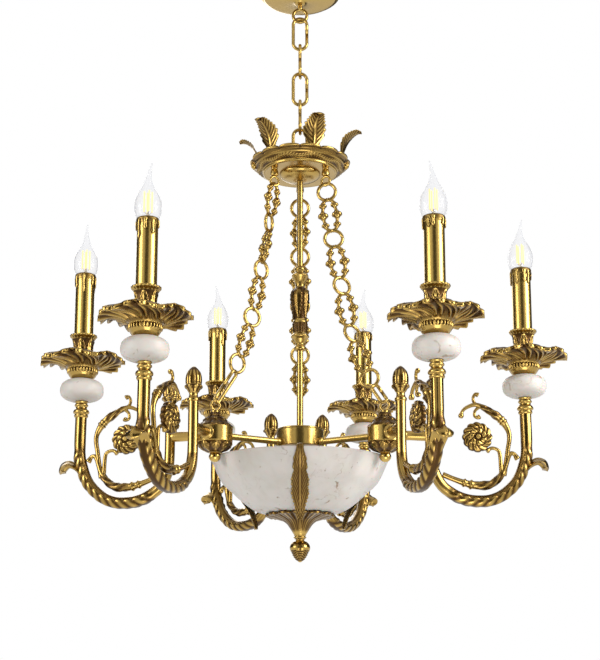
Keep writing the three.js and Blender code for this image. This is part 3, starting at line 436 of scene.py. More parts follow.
# %% [markdown]
# ## Paths and profiles
#
# A few points and a smooth curve through them describe a turned profile, a bent rod or a leaf's middle
# line, as a maker's template does. The curve is cut at equal steps of length, so the faces are even.
# Straight tubes get an extra ring near each corner instead, because smooth shading would otherwise round
# their flat sides.

# %% Curves, turned pieces and sweeps
def smooth_path(points, count):
    """A Catmull-Rom curve through points, at equal steps of length."""
    points = np.asarray(points, float)
    padded = np.concatenate([[2 * points[0] - points[1]], points, [2 * points[-1] - points[-2]]])
    at = np.linspace(0, len(points) - 1 - 1e-9, 60 * len(points))
    step = at.astype(int)
    t = (at - step)[:, None]
    a, b, c, d = (padded[step + i] for i in range(4))
    bend = (2 * a - 5 * b + 4 * c - d) * t ** 2 + (3 * b - a - 3 * c + d) * t ** 3
    fine = 0.5 * (2 * b + (c - a) * t + bend)
    run = np.concatenate([[0], np.cumsum(np.linalg.norm(np.diff(fine, axis=0), axis=1))])
    even = np.linspace(0, run[-1], count)
    return np.stack([np.interp(even, run, fine[:, i]) for i in range(fine.shape[1])], 1)


def along(values, count):
    """Values spread evenly over a count of places."""
    return np.interp(np.linspace(0, 1, count), np.linspace(0, 1, len(values)), values)


def round_angles(columns):
    """Equal steps once round, without the last, which would repeat the first."""
    return np.linspace(0, TURN, columns, endpoint=False)


def turned(profile, columns, bulge=0.0):
    """A surface about Z: rows of radius and height, the radius changed by bulge (rows, columns)."""
    profile = np.asarray(profile, float)
    angle = round_angles(columns)
    radius = profile[:, :1] + bulge
    height = np.broadcast_to(profile[:, 1:], radius.shape if np.ndim(bulge) else (len(profile), columns))
    radius = np.broadcast_to(radius, height.shape)
    return about_z(radius, angle, height)


def about_z(radius, angle, height):
    """Points from radius, angle and height."""
    return np.stack([radius * np.cos(angle), radius * np.sin(angle), height], -1)


def crisp(points, near=0.35):
    """Adds a point just inside both ends of every straight, so that smooth shading keeps flat sides flat."""
    points = np.asarray(points, float)
    start, end = points[:-1], points[1:]
    run = np.linalg.norm(end - start, axis=1, keepdims=True)
    step = (end - start) * np.minimum(near / np.maximum(run, 0.01), 0.3)
    rows = np.stack([start, start + step, end - step], 1).reshape(-1, points.shape[1])
    return np.concatenate([rows, points[-1:]])


def swept(path, width, thickness, columns=None):
    """Rings along a path in the XZ plane; half widths lie along Y. Sizes are (rows,) or (rows, columns)."""
    path3 = np.stack([path[:, 0], np.zeros(len(path)), path[:, 1]], 1)
    tangent = np.gradient(path3, axis=0)
    tangent /= np.linalg.norm(tangent, axis=1, keepdims=True)
    side = np.array([0.0, 1.0, 0.0])
    normal = np.cross(tangent, side)
    width, thickness = np.asarray(width, float), np.asarray(thickness, float)
    columns = columns or width.shape[1]
    angle = round_angles(columns)
    width = width[:, None] if width.ndim == 1 else width
    thickness = thickness[:, None] if thickness.ndim == 1 else thickness
    across = width * np.cos(angle)
    through = thickness * np.sin(angle)
    return path3[:, None, :] + across[..., None] * side + through[..., None] * normal[:, None, :]


def carve(height):
    """How deep each point lies: 0 at the highest relief, 1 at the lowest."""
    span = np.ptp(height)
    return (height.max() - height) / span if span else np.zeros_like(height)


# %% [markdown]
# ## Relief by formula
#
# Cast ornament is mostly acanthus: a leaf with a rib, slanting veins and a lobed edge. It could be
# sculpted, or displaced by a picture. Here one function gives its height over a unit leaf, and it is
# repeated round cups, vases and bosses as real shape, so it also shows in the outline.

# %% Relief functions
PLAIN = 0.12


def eased(value, start, end):
    """A smooth step from 0 at start to 1 at end."""
    t = np.clip((value - start) / (end - start), 0, 1)
    return t * t * (3 - 2 * t)


def ridges(phase, power=1.0):
    """Rounded ridges, one for each half turn of the phase: 1 on the crest, 0 in the groove."""
    return np.abs(np.cos(phase)) ** power


def leaf_relief(across, along_share, lobes=4):
    """A leaf's height: across runs -1 to 1, along_share 0 at the root to 1 at the tip."""
    half = np.sin(np.pi * np.clip(along_share, 0, 1) ** 0.75) ** 0.55 * 0.97
    side = np.abs(across)
    swept_back = along_share - 0.16 * side
    lobe = np.abs(np.sin(np.pi * lobes * swept_back)) ** 0.5
    edge = eased(half * (0.72 + 0.28 * lobe) - side, 0.0, 0.14)
    veins = 0.5 + 0.5 * np.cos(TURN * lobes * (along_share - 0.55 * side) + np.pi)
    rib = np.exp(-(side / 0.10) ** 2)
    return edge * (0.55 + 0.3 * veins + 0.35 * rib)


def leaves_round(angle, height, count, start, end, turn=0.0, lobes=4):
    """Leaves standing side by side round an axis, between two heights."""
    across = ((angle / TURN * count + turn) % 1.0) * 2 - 1
    return leaf_relief(across, (height - start) / (end - start), lobes) * ((height > start) & (height < end))


def lathe(points, count, columns, relief=None, size=0.0, carved=()):
    """A turned shell: relief(angle, height), times size, raises its radius and shades the carved heights."""
    line = smooth_path(points, count)
    line[:, 0] = np.maximum(line[:, 0], 0.05)
    angle, height = np.meshgrid(round_angles(columns), line[:, 1])
    raised = relief(angle, height) if relief else np.zeros_like(angle)
    depth = np.full_like(angle, PLAIN)
    for start, end in carved:
        depth = np.where((height > start) & (height < end), carve(raised), depth)
    return Shell().add(turned(line, columns, raised * size), depth)


# %% [markdown]
# ## The arms
#
# On the real lamp each arm is a hollow casting: an inner post that carries an acorn, and a J that swings
# down and up to the candle. The lower half of the J wears slanting acanthus lobes on its outer side, and
# the candle's post is fluted. A bevelled curve would give a plain tube, so the sweep takes a radius for
# every point of every ring. Everything is made in the arm's own plane, in shares of its reach and depth.

# %% The J of an arm
REACH = np.linalg.norm(candle_axis[2][:2] - drum_axis[1][:2])
DEPTH = 86.5
RISE = 35.0
POST = 64.0
LEAF_STEPS = 400
TUBE_ROWS = 220
TUBE_COLUMNS = 36
LOBES_IN_WRAP = 25
print("arm reach", round(REACH, 1))


def shares(points):
    """Points given as shares of the arm's reach and depth."""
    return np.array(points) * (REACH, DEPTH)


def arm_tube():
    """Sweeps the J: lobes on its outer side where it curves, and flutes up the candle's post."""
    path = smooth_path([(POST, RISE), *shares([
        (0.328, -0.266), (0.341, -0.543), (0.39, -0.763), (0.467, -0.896), (0.558, -0.977), (0.65, -1),
        (0.742, -0.977), (0.833, -0.879), (0.925, -0.677), (0.977, -0.416), (1, -0.15)]), (REACH, RISE)],
                       TUBE_ROWS)
    run, angle = np.meshgrid(np.linspace(0, 1, TUBE_ROWS), round_angles(TUBE_COLUMNS), indexing="ij")
    out = np.abs((angle - 0.75 * TURN + np.pi) % TURN - np.pi)
    phase = np.pi * (run * LOBES_IN_WRAP - out * 0.62)
    ridge = ridges(phase, 0.6)
    wrap = eased(run, 0.36, 0.40) * (1 - eased(run, 0.82, 0.86))
    blade = 1 - eased(out, 1.45 + 0.5 * ridge, 1.62 + 0.5 * ridge)
    channel = 1 - eased(out, 0.30, 0.55)
    fluted = eased(run, 0.84, 0.88) + eased(run, 0.22, 0.28) - eased(run, 0.37, 0.40)
    flutes = ridges(5 * angle) * fluted
    radius = 6.7 + 0.7 * eased(run, 0.1, 0.5)
    height = wrap * blade * (0.9 + 1.3 * ridge * (1 - channel)) + flutes * 0.4
    carved = wrap * blade * np.maximum((1 - ridge) * 1.1 * (1 - channel), 0.75 * channel)
    depth = PLAIN + carved + (1 - flutes) * (flutes > 0) * 0.3 + wrap * (1 - blade) * 0.3
    return Shell().add(swept(path, radius + height, radius + height), depth)

# %% [markdown]
# ### Scrolls and free leaves
#
# The scrolls brazed inside the J are thin rods that swell, carry collars and leaf husks, and end in small
# buds. The curl behind the candle's post is a free leaf. A rod is a round sweep whose radius takes a bell
# curve for each collar. A leaf is a flat sweep: its width follows a list, its edge is notched where a vein
# ends, and its ribs stand up from the face.

# %% Rods and leaves
def rod(points, radii, count=90, columns=20, rings=(), husk=None):
    """A round rod; rings lists (share, width, height), and husk is a range of shares with leaf lobes."""
    path = smooth_path(points, count)
    run, angle = np.meshgrid(np.linspace(0, 1, count), round_angles(columns), indexing="ij")
    radius = along(radii, count)[:, None] + np.zeros(columns)
    for share, width, height in rings:
        radius = radius + height * np.exp(-((run - share) / width) ** 2)
    depth = np.full_like(radius, 0.2)
    if husk:
        inside = eased(run, husk[0], husk[0] + 0.05) * (1 - eased(run, husk[1] - 0.05, husk[1]))
        lobe = np.abs(np.sin(2 * angle + run * 26))
        radius = radius + inside * (lobe * 1.5 - 0.5)
        depth = depth + inside * (1 - lobe) * 0.8
    return Shell().add(swept(path, radius, radius), depth)


def leaf_shell(points, half_widths, half_thickness, count, columns, lobes, cup, notch=0.25, shade=0.3):
    """A free leaf along a curve: a rib, slanting veins with a lobe at the end of each, and cupped sides."""
    line = smooth_path(points, LEAF_STEPS)
    run, angle = np.meshgrid(np.linspace(0, 1, count), round_angles(columns), indexing="ij")
    side = np.arcsin(np.clip(np.cos(angle), -1, 1)) * 2 / np.pi
    at = np.clip(run + 0.06 * side ** 2 * np.sin(np.pi * run), 0, 1) * (LEAF_STEPS - 1)
    lower = np.minimum(at.astype(int), LEAF_STEPS - 2)
    share = (at - lower)[..., None]
    middle_line = line[lower] * (1 - share) + line[lower + 1] * share
    tangent = np.gradient(line, axis=0)
    tangent /= np.linalg.norm(tangent, axis=1, keepdims=True)
    normal = np.stack([-tangent[:, 1], tangent[:, 0]], 1)[lower]
    phase = np.pi * lobes * (run - 0.3 * np.abs(side) * np.sin(np.pi * run) ** 0.5)
    veins = ridges(phase, 1.6)
    rib = np.exp(-(side / 0.13) ** 2)
    bay = 1 - ridges(phase, 0.6)
    half = along(half_widths, count)[:, None] * (1 - notch * bay * np.abs(side) ** 3)
    thick = along(half_thickness, count)[:, None]
    ridge = np.maximum(rib, veins * (1 - np.exp(-(side / 0.2) ** 2))) if lobes else rib
    through = np.sin(angle) * thick * (0.75 + 0.75 * ridge) + cup * half * side ** 2
    flat = middle_line + normal * through[..., None]
    grid = np.stack([flat[..., 0], half * side, flat[..., 1]], -1)
    edge = eased(np.abs(side), 0.8, 0.95)
    return Shell().add(grid, np.clip(PLAIN + (shade + 0.6 - 0.85 * ridge * (lobes > 0)) * (1 - edge), 0, 1))

# %% [markdown]
# ### The rosette
#
# Each big scroll holds a round boss of petals, carved on both faces. It could be modelled petal by petal.
# In polar form two rings of petals are only two cosines of the angle, turned with the radius so that they
# swirl, and the dome under them is a flattened ball.

# %% Rosette
def rosette(radius, columns=120, rows=38):
    """A round boss: two rings of petals round a button, carved on both faces."""
    share = np.concatenate([np.linspace(0.02, 1, rows), np.linspace(1, 0.02, rows)[1:]])[:, None]
    face = np.sign(rows - 0.5 - np.arange(len(share)))[:, None] * -1
    angle = round_angles(columns)[None, :]
    twist = angle + 1.1 * share * face
    outer = ridges(6 * twist, 0.5) * eased(share, 0.5, 0.66) * (1 - 0.6 * eased(share, 0.93, 1.0))
    inner = ridges(3.5 * twist + 0.4, 0.5) * eased(share, 0.2, 0.34) * (1 - eased(share, 0.5, 0.6))
    button = 1 - eased(share, 0.12, 0.2)
    relief = outer * 1.8 + inner * 2.4 + button * 2.6 + 0.4 * np.cos(18 * twist) * outer
    dome = 4.2 * np.sqrt(np.clip(1 - share ** 2, 0, 1)) + 0.8 * (1 - eased(share, 0.95, 1))
    rim = radius * share * (1 - 0.09 * (1 - ridges(6 * twist)) * eased(share, 0.75, 1))
    height = face * (dome + relief)
    grid = np.stack([rim * np.cos(angle), height + 0 * angle, rim * np.sin(angle)], -1)
    return Shell().add(grid, np.clip(1.25 - relief / 1.6, 0, 1) + 0 * angle)

# %% [markdown]
# ### Putting an arm together
#
# The parts are joined once, in the arm's plane, then turned to each arm's heading and moved to its drum.
# All six are alike, as castings from one mould are.

# %% The six arm castings
def arm_shell():
    """All castings of one arm in its own plane."""
    whole = arm_tube()
    whole.joined(rod(shares([
        (0.935, -0.335), (0.907, -0.25), (0.874, -0.277), (0.833, -0.517), (0.787, -0.659), (0.723, -0.748),
        (0.63, -0.757), (0.558, -0.728), (0.466, -0.659), (0.4, -0.6)]),
        (2.2, 3.2, 3.6, 4.2, 4.6, 5.6, 5.4, 4.2, 3.6, 3.8), 110, 18,
        [(0.01, 0.03, 1.6), (0.70, 0.012, 1.9), (0.77, 0.012, 1.9)], (0.30, 0.66)))
    whole.joined(rod(shares([
        (0.835, -0.6), (0.865, -0.197), (0.879, -0.016), (0.874, 0.104), (0.846, 0.224), (0.805, 0.324),
        (0.723, 0.445), (0.65, 0.514), (0.59, 0.48), (0.55, 0.41), (0.535, 0.3)]),
        (3.2, 3.2, 3.1, 3.1, 3.3, 5.0, 5.2, 3.4, 2.9, 2.4, 2.0), 120, 18,
        [(0.50, 0.008, 1.4), (0.53, 0.008, 1.0), (0.98, 0.02, 1.8)], (0.54, 0.78)))
    whole.joined(rod(shares([(0.815, -0.56), (0.808, -0.27), (0.79, -0.19), (0.75, -0.17), (0.715, -0.22)]),
                     (3.0, 2.8, 2.6, 2.4, 2.6), 36, 12, [(0.97, 0.03, 1.2)]))
    whole.joined(rod(shares([(0.66, 0.49), (0.632, 0.56), (0.628, 0.63), (0.645, 0.685), (0.665, 0.67)]),
                     (2.8, 2.2, 2.0, 2.2, 2.6), 30, 12, [(0.95, 0.06, 1.0)]))
    whole.joined(rod(shares([(0.675, 0.49), (0.64, 0.42), (0.635, 0.34), (0.655, 0.31), (0.672, 0.33)]),
                     (2.6, 2.2, 2.0, 2.2, 2.6), 30, 12, [(0.95, 0.06, 1.0)]))
    curl = shares([(0.93, -0.66), (0.97, -0.53), (1.02, -0.42), (1.075, -0.36), (1.115, -0.39),
                   (1.132, -0.46), (1.125, -0.49)])
    whole.joined(leaf_shell(curl, (8.0, 9.6, 11.0, 11.8, 12.0, 11.6, 8.5), (3.4, 3.2, 3.0, 3.0, 3.4, 4.0, 3),
                            48, 36, 0, -0.18, shade=-0.5))
    whole.joined(rosette(21.0).moved((0.65 * REACH, 0, 0)))
    whole.joined(lathe([
        (0.1, -2), (7.2, -2), (7.9, 0), (7.9, 1.6), (6.6, 3.2), (5.7, 6), (5.9, 9), (7.2, 12), (8.6, 14.2),
        (10.9, 16), (11.3, 18.2), (9.6, 20.2), (9.9, 24), (9.7, 30), (8.2, 36), (5.4, 41), (2.2, 44),
        (0.1, 44.8)], 90, 48,
        lambda angle, height: ridges(4 * angle) * ((height > 10) & (height < 20))
        + ridges(6 * angle) * (height > 20.2) * (1 - eased(height, 36, 43)), 0.9,
        [(10, 19.6), (20.2, 43)]).moved((POST, 0, RISE)))
    whole.joined(lathe([
        (0.1, -2), (7.6, -2), (9.3, -0.6), (9.6, 1.4), (8.7, 2.8), (10.7, 4.4), (11.0, 6.6), (9.8, 9),
        (8.0, 10.8), (7.7, 13), (9.2, 14.6), (9.2, 16.4), (7.8, 17.8), (8.6, 19.6), (8.4, 20.9),
        (0.1, 20.9)], 64, 36,
        ).moved((REACH, 0, RISE)))
    stub = lathe([(0.1, 23.4), (9.4, 23.4), (9.6, 25.6), (7.0, 27), (6.4, 33), (6.4, 60), (0.1, 61)], 40, 40)
    return whole.joined(stub.laid())


heading = {}
for arm in ARMS:
    offset = candle_axis[arm][:2] - drum_axis[drum_of_arm[arm]][:2]
    heading[arm] = math.atan2(offset[0], -offset[1])
arm_casting = arm_shell()
for arm in ARMS:
    x, y, _ = drum_axis[drum_of_arm[arm]]
    placed = arm_casting.moved((x, y, spoke_z), heading[arm])
    placed.make(f"arm_casting_{arm}", cast_brass, "antique_brass", f"arm_{arm}")
print("arm casting points:", arm_casting.count)

# %% [markdown]
# ## Drip pans
#
# A pan is cast as six acanthus leaves that swirl out of a fluted ring, with drooping tips and raised
# seams, and a leafy cup in the middle that grips the candle. Its under side is what one sees, and its foot
# reaches down into the knob. Six single leaves could be laid side by side, but a real pan is one casting,
# so one profile is turned, and the relief, the pull at the rim and the sag are added to every point of it.

# %% Drip pans
PAN_RADIUS = 59.5
PAN_LEAVES = 6
PAN_FOOT_DROP = 5.4
PAN_FLUTES = 30
PAN_TIP_AZIMUTH = math.radians(-95)


def drip_pan(columns=240):
    """One closed skin: the under side out to the rim, back over the top to the cup, and into the cup."""
    under = smooth_path([(0.1, -PAN_FOOT_DROP), (13, -PAN_FOOT_DROP), (15.2, -4.6), (17.6, -2), (19.5, 1.2),
                         (20.3, 2.4), (20.5, 5.6), (20.5, 8.6), (21.2, 9.8), (23.4, 12.8), (27, 16),
                         (34, 19), (44, 21), (53, 21.8), (59.5, 21.8)], 96)
    over = smooth_path([(59.4, 23), (53, 24.2), (44, 23.8), (34, 22.2), (24, 21.4), (15.4, 22.4), (12.8, 27),
                        (12.4, 38), (13.4, 46), (15.8, 51.5), (18.8, 55), (19.0, 56.6), (17.6, 57),
                        (14.3, 53), (13.8, 48.6), (0.1, 48.5)], 64)
    line = np.concatenate([under, over])
    radius, height = line[:, :1], line[:, 1:]
    angle = round_angles(columns)[None, :]
    below = (np.arange(len(line)) < len(under))[:, None]
    dish = (radius > 20.6) & (height < 25)
    share = np.clip((radius - 21) / (PAN_RADIUS - 21), 0, 1) * dish
    across = (((angle + 0.6 * share ** 1.2) / TURN * PAN_LEAVES) % 1.0) * 2 - 1
    side = np.abs(across)
    fan = np.pi * (2.2 * side - 1.5 * share)
    veins = ridges(fan, 1.3)
    rib = np.exp(-(across / 0.10) ** 2)
    relief = eased(share, 0.0, 0.16) * np.maximum(rib, veins) * (1 - 0.9 * eased(side, 0.9, 1.0))
    lobe = ridges(2.2 * np.pi * side - 1.5 * np.pi, 0.6)
    pull = share ** 2 * 0.10 * side ** 2 + share ** 3 * 0.10 * (1 - lobe)
    sag = share ** 2 * (9.0 * side - 6.0 + 3.4 * (1 - lobe) * share)
    bead = np.exp(-((height - 5.6) / 3.2) ** 8) * (radius < 21) * below
    gadroon = ridges(PAN_FLUTES / 2 * angle, 0.9)
    neck = leaves_round(angle, height, 6, 25.0, 50.0, lobes=4) * ~below
    cup = (height > 50) * ~below
    scallop = ridges(9 * angle, 0.6)
    radius = radius * (1 - pull) + bead * (gadroon * 2.0 - 1.0) + neck * 1.5 - cup * (1 - scallop) * 0.9
    height = height + sag + np.where(below, -3.2 * relief, 1.6 * relief)
    grid = about_z(radius, angle, height)
    hollow = share ** 0.4 * (1 - relief) * 1.35 * (1 - 0.8 * eased(share, 0.9, 0.97))
    wall = (line[:, 1:] > 24) & (line[:, 1:] < 50) & ~below
    hollow = hollow + bead * (1.25 - 1.5 * gadroon) + (1 - neck) * 0.75 * wall
    return Shell().add(grid, np.clip(hollow + 0.1, 0, 1))


pan = drip_pan()
for arm in ARMS:
    x, y, _ = candle_axis[arm]
    pan.moved((x, y, pan_z), PAN_TIP_AZIMUTH).make(
        f"leaf_pan_{arm}", cast_brass, "antique_brass", f"drip_pan_{arm}")
print("pan points:", pan.count)

# %% [markdown]
# ## Stone knobs
#
# Below each pan sits a knob of turned alabaster, fuller than a ball and flat where it touches metal. A
# superellipse gives that barrel shape with two exponents, where a scaled sphere would look too pointed.

# %% Knobs
KNOB_RADIUS = 29.8
knob_half = (knob_z[1] - knob_z[0] - PAN_FOOT_DROP) / 2


def stone_knob():
    """A flattened ball with a flat top and foot: a superellipse turned about Z."""
    turn = np.linspace(-1, 1, 60)
    radius = KNOB_RADIUS * (1 - np.abs(turn) ** 2.7 * 0.86) ** (1 / 2.3)
    line = np.stack([radius, turn * knob_half], 1)
    line = np.concatenate([[(0.05, -knob_half)], line, [(0.05, knob_half)]])
    return Shell().add(turned(line, 72))


for arm in ARMS:
    x, y, _ = candle_axis[arm]
    stone_knob().moved((x, y, knob_z[0] + knob_half)).make(
        f"stone_knob_{arm}", alabaster, "alabaster", f"knob_{arm}")
print("knobs", round(2 * knob_half, 1), "mm tall")

# %% [markdown]
# ## Candle sleeves
#
# The sleeve is a thin metal tube with a melted-wax lip and drips that end in a bead. The drips could be
# sculpted, but short closed rods laid on the tube have the same form, and a seeded draw gives each its
# place, width and length. A wider and darker one under each is painted shadow beside the drip, together
# with the patina in the crease.

# %% Sleeves with drips
SLEEVE_RADIUS = 13.1
DRIPS = 8
sleeve_long = sleeve_z[1] - sleeve_z[0]


def sleeve(seed):
    """The tube as a cup of thin wall, and drips of seeded place and length, each over a darker edge of
    painted shadow.
    """
    top = sleeve_long
    line = crisp([
        (0.05, 0), (SLEEVE_RADIUS, 0), (SLEEVE_RADIUS, top - 9), (13.6, top - 7.5), (14.3, top - 4),
        (14.4, top - 2), (13.9, top - 0.7), (13.0, top - 0.1), (12.3, top - 0.5), (12.0, top - 3),
        (12.0, top - 12), (0.05, top - 12)])
    lip = 0.6 * eased(line[:, 1:], top - 9, top - 6)
    whole = Shell().add(turned(line, 96), lip)
    random = np.random.default_rng(seed)
    for step in range(DRIPS):
        angle = TURN * (step + random.uniform(-0.25, 0.25)) / DRIPS
        length = random.uniform(6, 24)
        wide = random.uniform(1.3, 2.0)
        fall = [(13.1, top - 2), (14.0, top - 6), (13.7, top - 8 - length * 0.4), (13.6, top - 6 - length)]
        down = smooth_path(fall, 40)
        size = along((wide * 1.6, wide * 1.2, wide * 0.8, wide * 0.85, wide * 1.25, wide * 0.5), 40)
        # A wider, dark strip under the drip: painted shadow beside it, with patina in the crease.
        whole.joined(Shell().add(swept(down, size * 1.5, 0.55 + 0 * size, 16), 0.95).moved(azimuth=angle))
        whole.joined(Shell().add(swept(down, size, np.minimum(size, 1.3), 16), 0.1).moved(azimuth=angle))
    return whole


# %% [markdown]
# ## Bulbs
#
# The bulb is a blown flame: a thin glass shell whose tip leans over, with four yellow sticks on a glass
# stem inside, and a screw base in the holder. The glass is a turned profile with an inner skin half a
# millimetre inside. Its tip is bent after turning by moving the points sideways, more with height, because
# a bent profile couldn't be turned.

# %% Bulbs
BULB_PROFILE = ((8.0, -9), (8.6, -4), (10.8, -0.5), (14.6, 1.5), (16.3, 6), (17.2, 11), (17.4, 17),
                (16.8, 22), (15.4, 27), (12.6, 33), (9.6, 38.5), (6.8, 44), (4.7, 50), (3.2, 56), (2.4, 62),
                (1.7, 68), (0.8, 72.3), (0.1, 73.4))
LEAN = 4.0


def lean_to(shell, azimuth, base):
    """Bends the top of a shell over: no shift below 30 mm, an S above."""
    for points in shell.points:
        rise = np.clip((points[:, 2] - base - 30) / 43, 0, 1)
        shift = LEAN * (rise ** 1.6 - 0.35 * np.sin(np.pi * rise))
        points[:, 0] += shift * math.sin(azimuth)
        points[:, 1] -= shift * math.cos(azimuth)
    return shell


def flame_glass():
    """The outer skin up to the tip and the inner skin back down, half a millimetre inside."""
    outer = smooth_path(BULB_PROFILE, 90)
    inner = outer[::-1].copy()
    inner[:, 0] = np.maximum(inner[:, 0] - 0.55, 0.02)
    inner[:, 1] = np.minimum(inner[:, 1], 71.5)
    return Shell().add(turned(np.concatenate([outer[:-1], inner[3:]]), 48))


def filaments():
    """Four sticks in a ring 10 mm across, 27 mm long."""
    sticks = Shell()
    for quarter in range(4):
        angle = TURN * (quarter + 0.2) / 4
        foot = np.array([5.0 * math.cos(angle), 5.0 * math.sin(angle)])
        line = [(0.05, 8.4), (0.7, 8.4), (0.9, 9), (0.9, 34.8), (0.7, 35.4), (0.05, 35.4)]
        sticks.joined(Shell().add(turned(line, 12)).moved((*foot, 0)))
    return sticks


def glass_stem():
    """The glass foot inside the bulb, and a wire from it to each stick."""
    line = smooth_path([(0.05, -4), (4.6, -4), (4.2, 1), (2.6, 4), (1.3, 6.5), (1.0, 9), (0.05, 9.4)], 30)
    whole = Shell().add(turned(line, 24))
    for quarter in range(4):
        angle = TURN * (quarter + 0.2) / 4
        wire = rod([(0.6, 5.5), (2.6, 6.4), (4.6, 8.6)], (0.3, 0.3), 10, 8)
        whole.joined(wire.moved(azimuth=angle + math.pi / 2))
    return whole


def screw_base():
    """The lamp's neck and thread, hidden in the holder."""
    return lathe([(0.05, -37), (5, -37), (8.5, -35), (8.5, -14), (9.2, -10), (9.2, -7), (0.05, -7)], 40, 32)


BULB_LEANS = (20, 90, 270, 90, 60, 250)
for arm, lean in zip(ARMS, BULB_LEANS):
    x, y, _ = candle_axis[arm]
    place = (x, y, sleeve_z[1])
    sleeve(arm).moved((x, y, sleeve_z[0])).make(
        f"candle_{arm}", satin_brass, "satin_brass", f"candle_sleeve_{arm}")
    lean_to(flame_glass().moved(place), math.radians(lean), sleeve_z[1]).make(
        f"flame_glass_{arm}", glass, "clear_glass", f"bulb_{arm}", f"lamp_{arm}")
    filaments().moved(place).make(f"filaments_{arm}", filament, "clear_glass", body=f"lamp_{arm}")
    glass_stem().moved(place).make(f"lamp_stem_{arm}", wire_steel, "clear_glass", body=f"lamp_{arm}")
    screw_base().moved(place).make(f"lamp_base_{arm}", satin_brass, "clear_glass", body=f"lamp_{arm}")
print("candles and bulbs made")

# %% [markdown]
# ## The bowl
#
# The bowl is one turned shell of stone, open above. The real one is cut from a block with a wall of some
# seven millimetres, so the profile goes up the outer skin, over a rounded edge and down the inner one. A
# solidified surface would do as well, but this way the edge is exact.

# %% Bowl
BOWL_RADIUS = 121.8
bowl_top, bowl_low = high("bowl")[2], low("bowl")[2]
BOWL_DEPTH = bowl_top - bowl_low
BOWL_SHARES = ((0.0, 0), (0.18, 0.0), (0.325, 0.063), (0.494, 0.127), (0.632, 0.266), (0.769, 0.456),
               (0.891, 0.646), (1, 1))


def bowl_shell():
    """The outer skin up to the rim, a rounded edge 7 mm wide, and the inner skin down to the middle."""
    outer = smooth_path(np.array(BOWL_SHARES) * (BOWL_RADIUS, BOWL_DEPTH), 90)
    inner = smooth_path((np.array(BOWL_SHARES) * (BOWL_RADIUS - 7, BOWL_DEPTH - 7) + (0, 7))[::-1], 70)
    outer[:, 0] = np.maximum(outer[:, 0], 0.05)
    inner[:, 0] = np.maximum(inner[:, 0], 0.05)
    outer[:, 1] += bowl_low
    inner[:, 1] += bowl_low
    return Shell().add(turned(np.concatenate([outer, inner]), 160))


bowl_shell().make("stone_bowl", alabaster, "alabaster", "bowl")
print("bowl", round(BOWL_DEPTH, 1), "mm deep")

# %% [markdown]
# ## Bowl leaves
#
# Three long leaves hook over the bowl's rim and hang down its side, their tips free of the petalled cup
# below. Each is the free leaf again, on a curve that follows the bowl's own profile at a small distance,
# so it lies on the stone as a bent brass leaf does.

# %% Bowl leaves
hook = np.array([(BOWL_RADIUS - 11.5, -9), (BOWL_RADIUS - 8.8, -3), (BOWL_RADIUS - 5, 2.2),
                 (BOWL_RADIUS, 2.4), (BOWL_RADIUS + 1.6, -2)])
side = np.array([(0.952, 0.80), (0.891, 0.646), (0.769, 0.456)]) * (BOWL_RADIUS, BOWL_DEPTH)
side += (1.8, -BOWL_DEPTH - 1.6)
tail = [(84.5, -58), (77.5, -70), (72.5, -82), (70.5, -90)]
leaf_line = np.concatenate([hook, side, tail])
LEAF_HALF_WIDTHS = (4, 4, 4.6, 6.5, 9, 10.2, 9.2, 12, 12.6, 11.4, 12.6, 11, 8.5, 7, 6, 3.6)
LEAF_THICKNESS = (1.0, 1.0, 1.2, 1.3, 1.3, 1.3, 1.6, 2.0)
bowl_leaf_shell = leaf_shell(leaf_line, LEAF_HALF_WIDTHS, LEAF_THICKNESS, 240, 56, 15, -0.16, 0.4, 0.36)
for third in range(3):
    angle = TURN * third / 3
    bowl_leaf_shell.moved((0, 0, bowl_top), angle).make(
        f"hooked_leaf_{third + 1}", cast_brass, "antique_brass", f"bowl_leaf_{third + 1}")
print("bowl leaf points:", bowl_leaf_shell.count)

# %% [markdown]
# ## Cup and finial
#
# A petalled funnel holds the bowl from below, and the bud under it hides the nut of the rod. Both are
# turned profiles that change with the angle: cosines make the cup's twelve petals and their ribs, and a
# zigzag edge parts the bud's smooth petals from its rows of chevrons.

# %% Cup and finial
cup_low = low("bowl_cup")[2]


def cup_shell(columns=144):
    """A funnel of twelve petals: its rim is scalloped, and the seams between petals are hollow."""
    line = smooth_path([(0.1, 0), (6.8, 0), (8.6, 0.8), (8.6, 2.2), (6.9, 3), (8.4, 4), (8.2, 5.2), (9.4, 7),
                        (11.2, 10), (14.5, 15.5), (18.5, 21), (25, 26), (34, 29.4), (41, 31), (45.4, 30.4),
                        (47, 31.8), (46, 34), (42, 34.4), (30, 32), (0.1, 30)], 120)
    angle = round_angles(columns)[None, :]
    share = np.clip((line[:, :1] - 10) / 37, 0, 1)
    petal = ridges(6 * angle, 0.5)
    rib = 0.5 + 0.5 * np.cos(36 * angle)
    radius = line[:, :1] * (1 - 0.10 * share ** 3 * (1 - petal)) + share * petal * 0.6
    height = line[:, 1:] - 2.6 * share * (1 - np.abs(2 * share - 1)) * petal - 1.1 * share * rib
    grid = about_z(radius, angle, height + cup_low)
    return Shell().add(grid, np.clip(eased(line[:, :1], 9, 13) * (1.25 - petal * 0.45 - rib * 0.6), 0, 1))


cup_shell().make("petal_cup", cast_brass, "satin_brass", "bowl_cup")
BUD_LINE = [(0.1, 0), (2.2, 0.8), (5.6, 4), (8.8, 8.5), (10.9, 13.4), (12.9, 17.6), (13.1, 20.4),
            (11.6, 24.4), (8.6, 27.6), (6.2, 29.2), (5.7, 30.6), (7.4, 31.7), (0.1, 31.9)]


def bud_relief(angle, height):
    """Smooth petals above a zigzag edge, and rows of chevrons below it."""
    edge = 13 + 3.4 * np.abs(np.sin(2 * angle))
    chevrons = np.abs(np.sin(height * 1.1 - 2.6 * ridges(2 * angle))) ** 1.5
    petals = 1.3 * np.abs(np.sin(2 * angle)) ** 0.25
    return np.where(height < edge, chevrons, petals) * eased(height, 1, 4) * (height < 28)


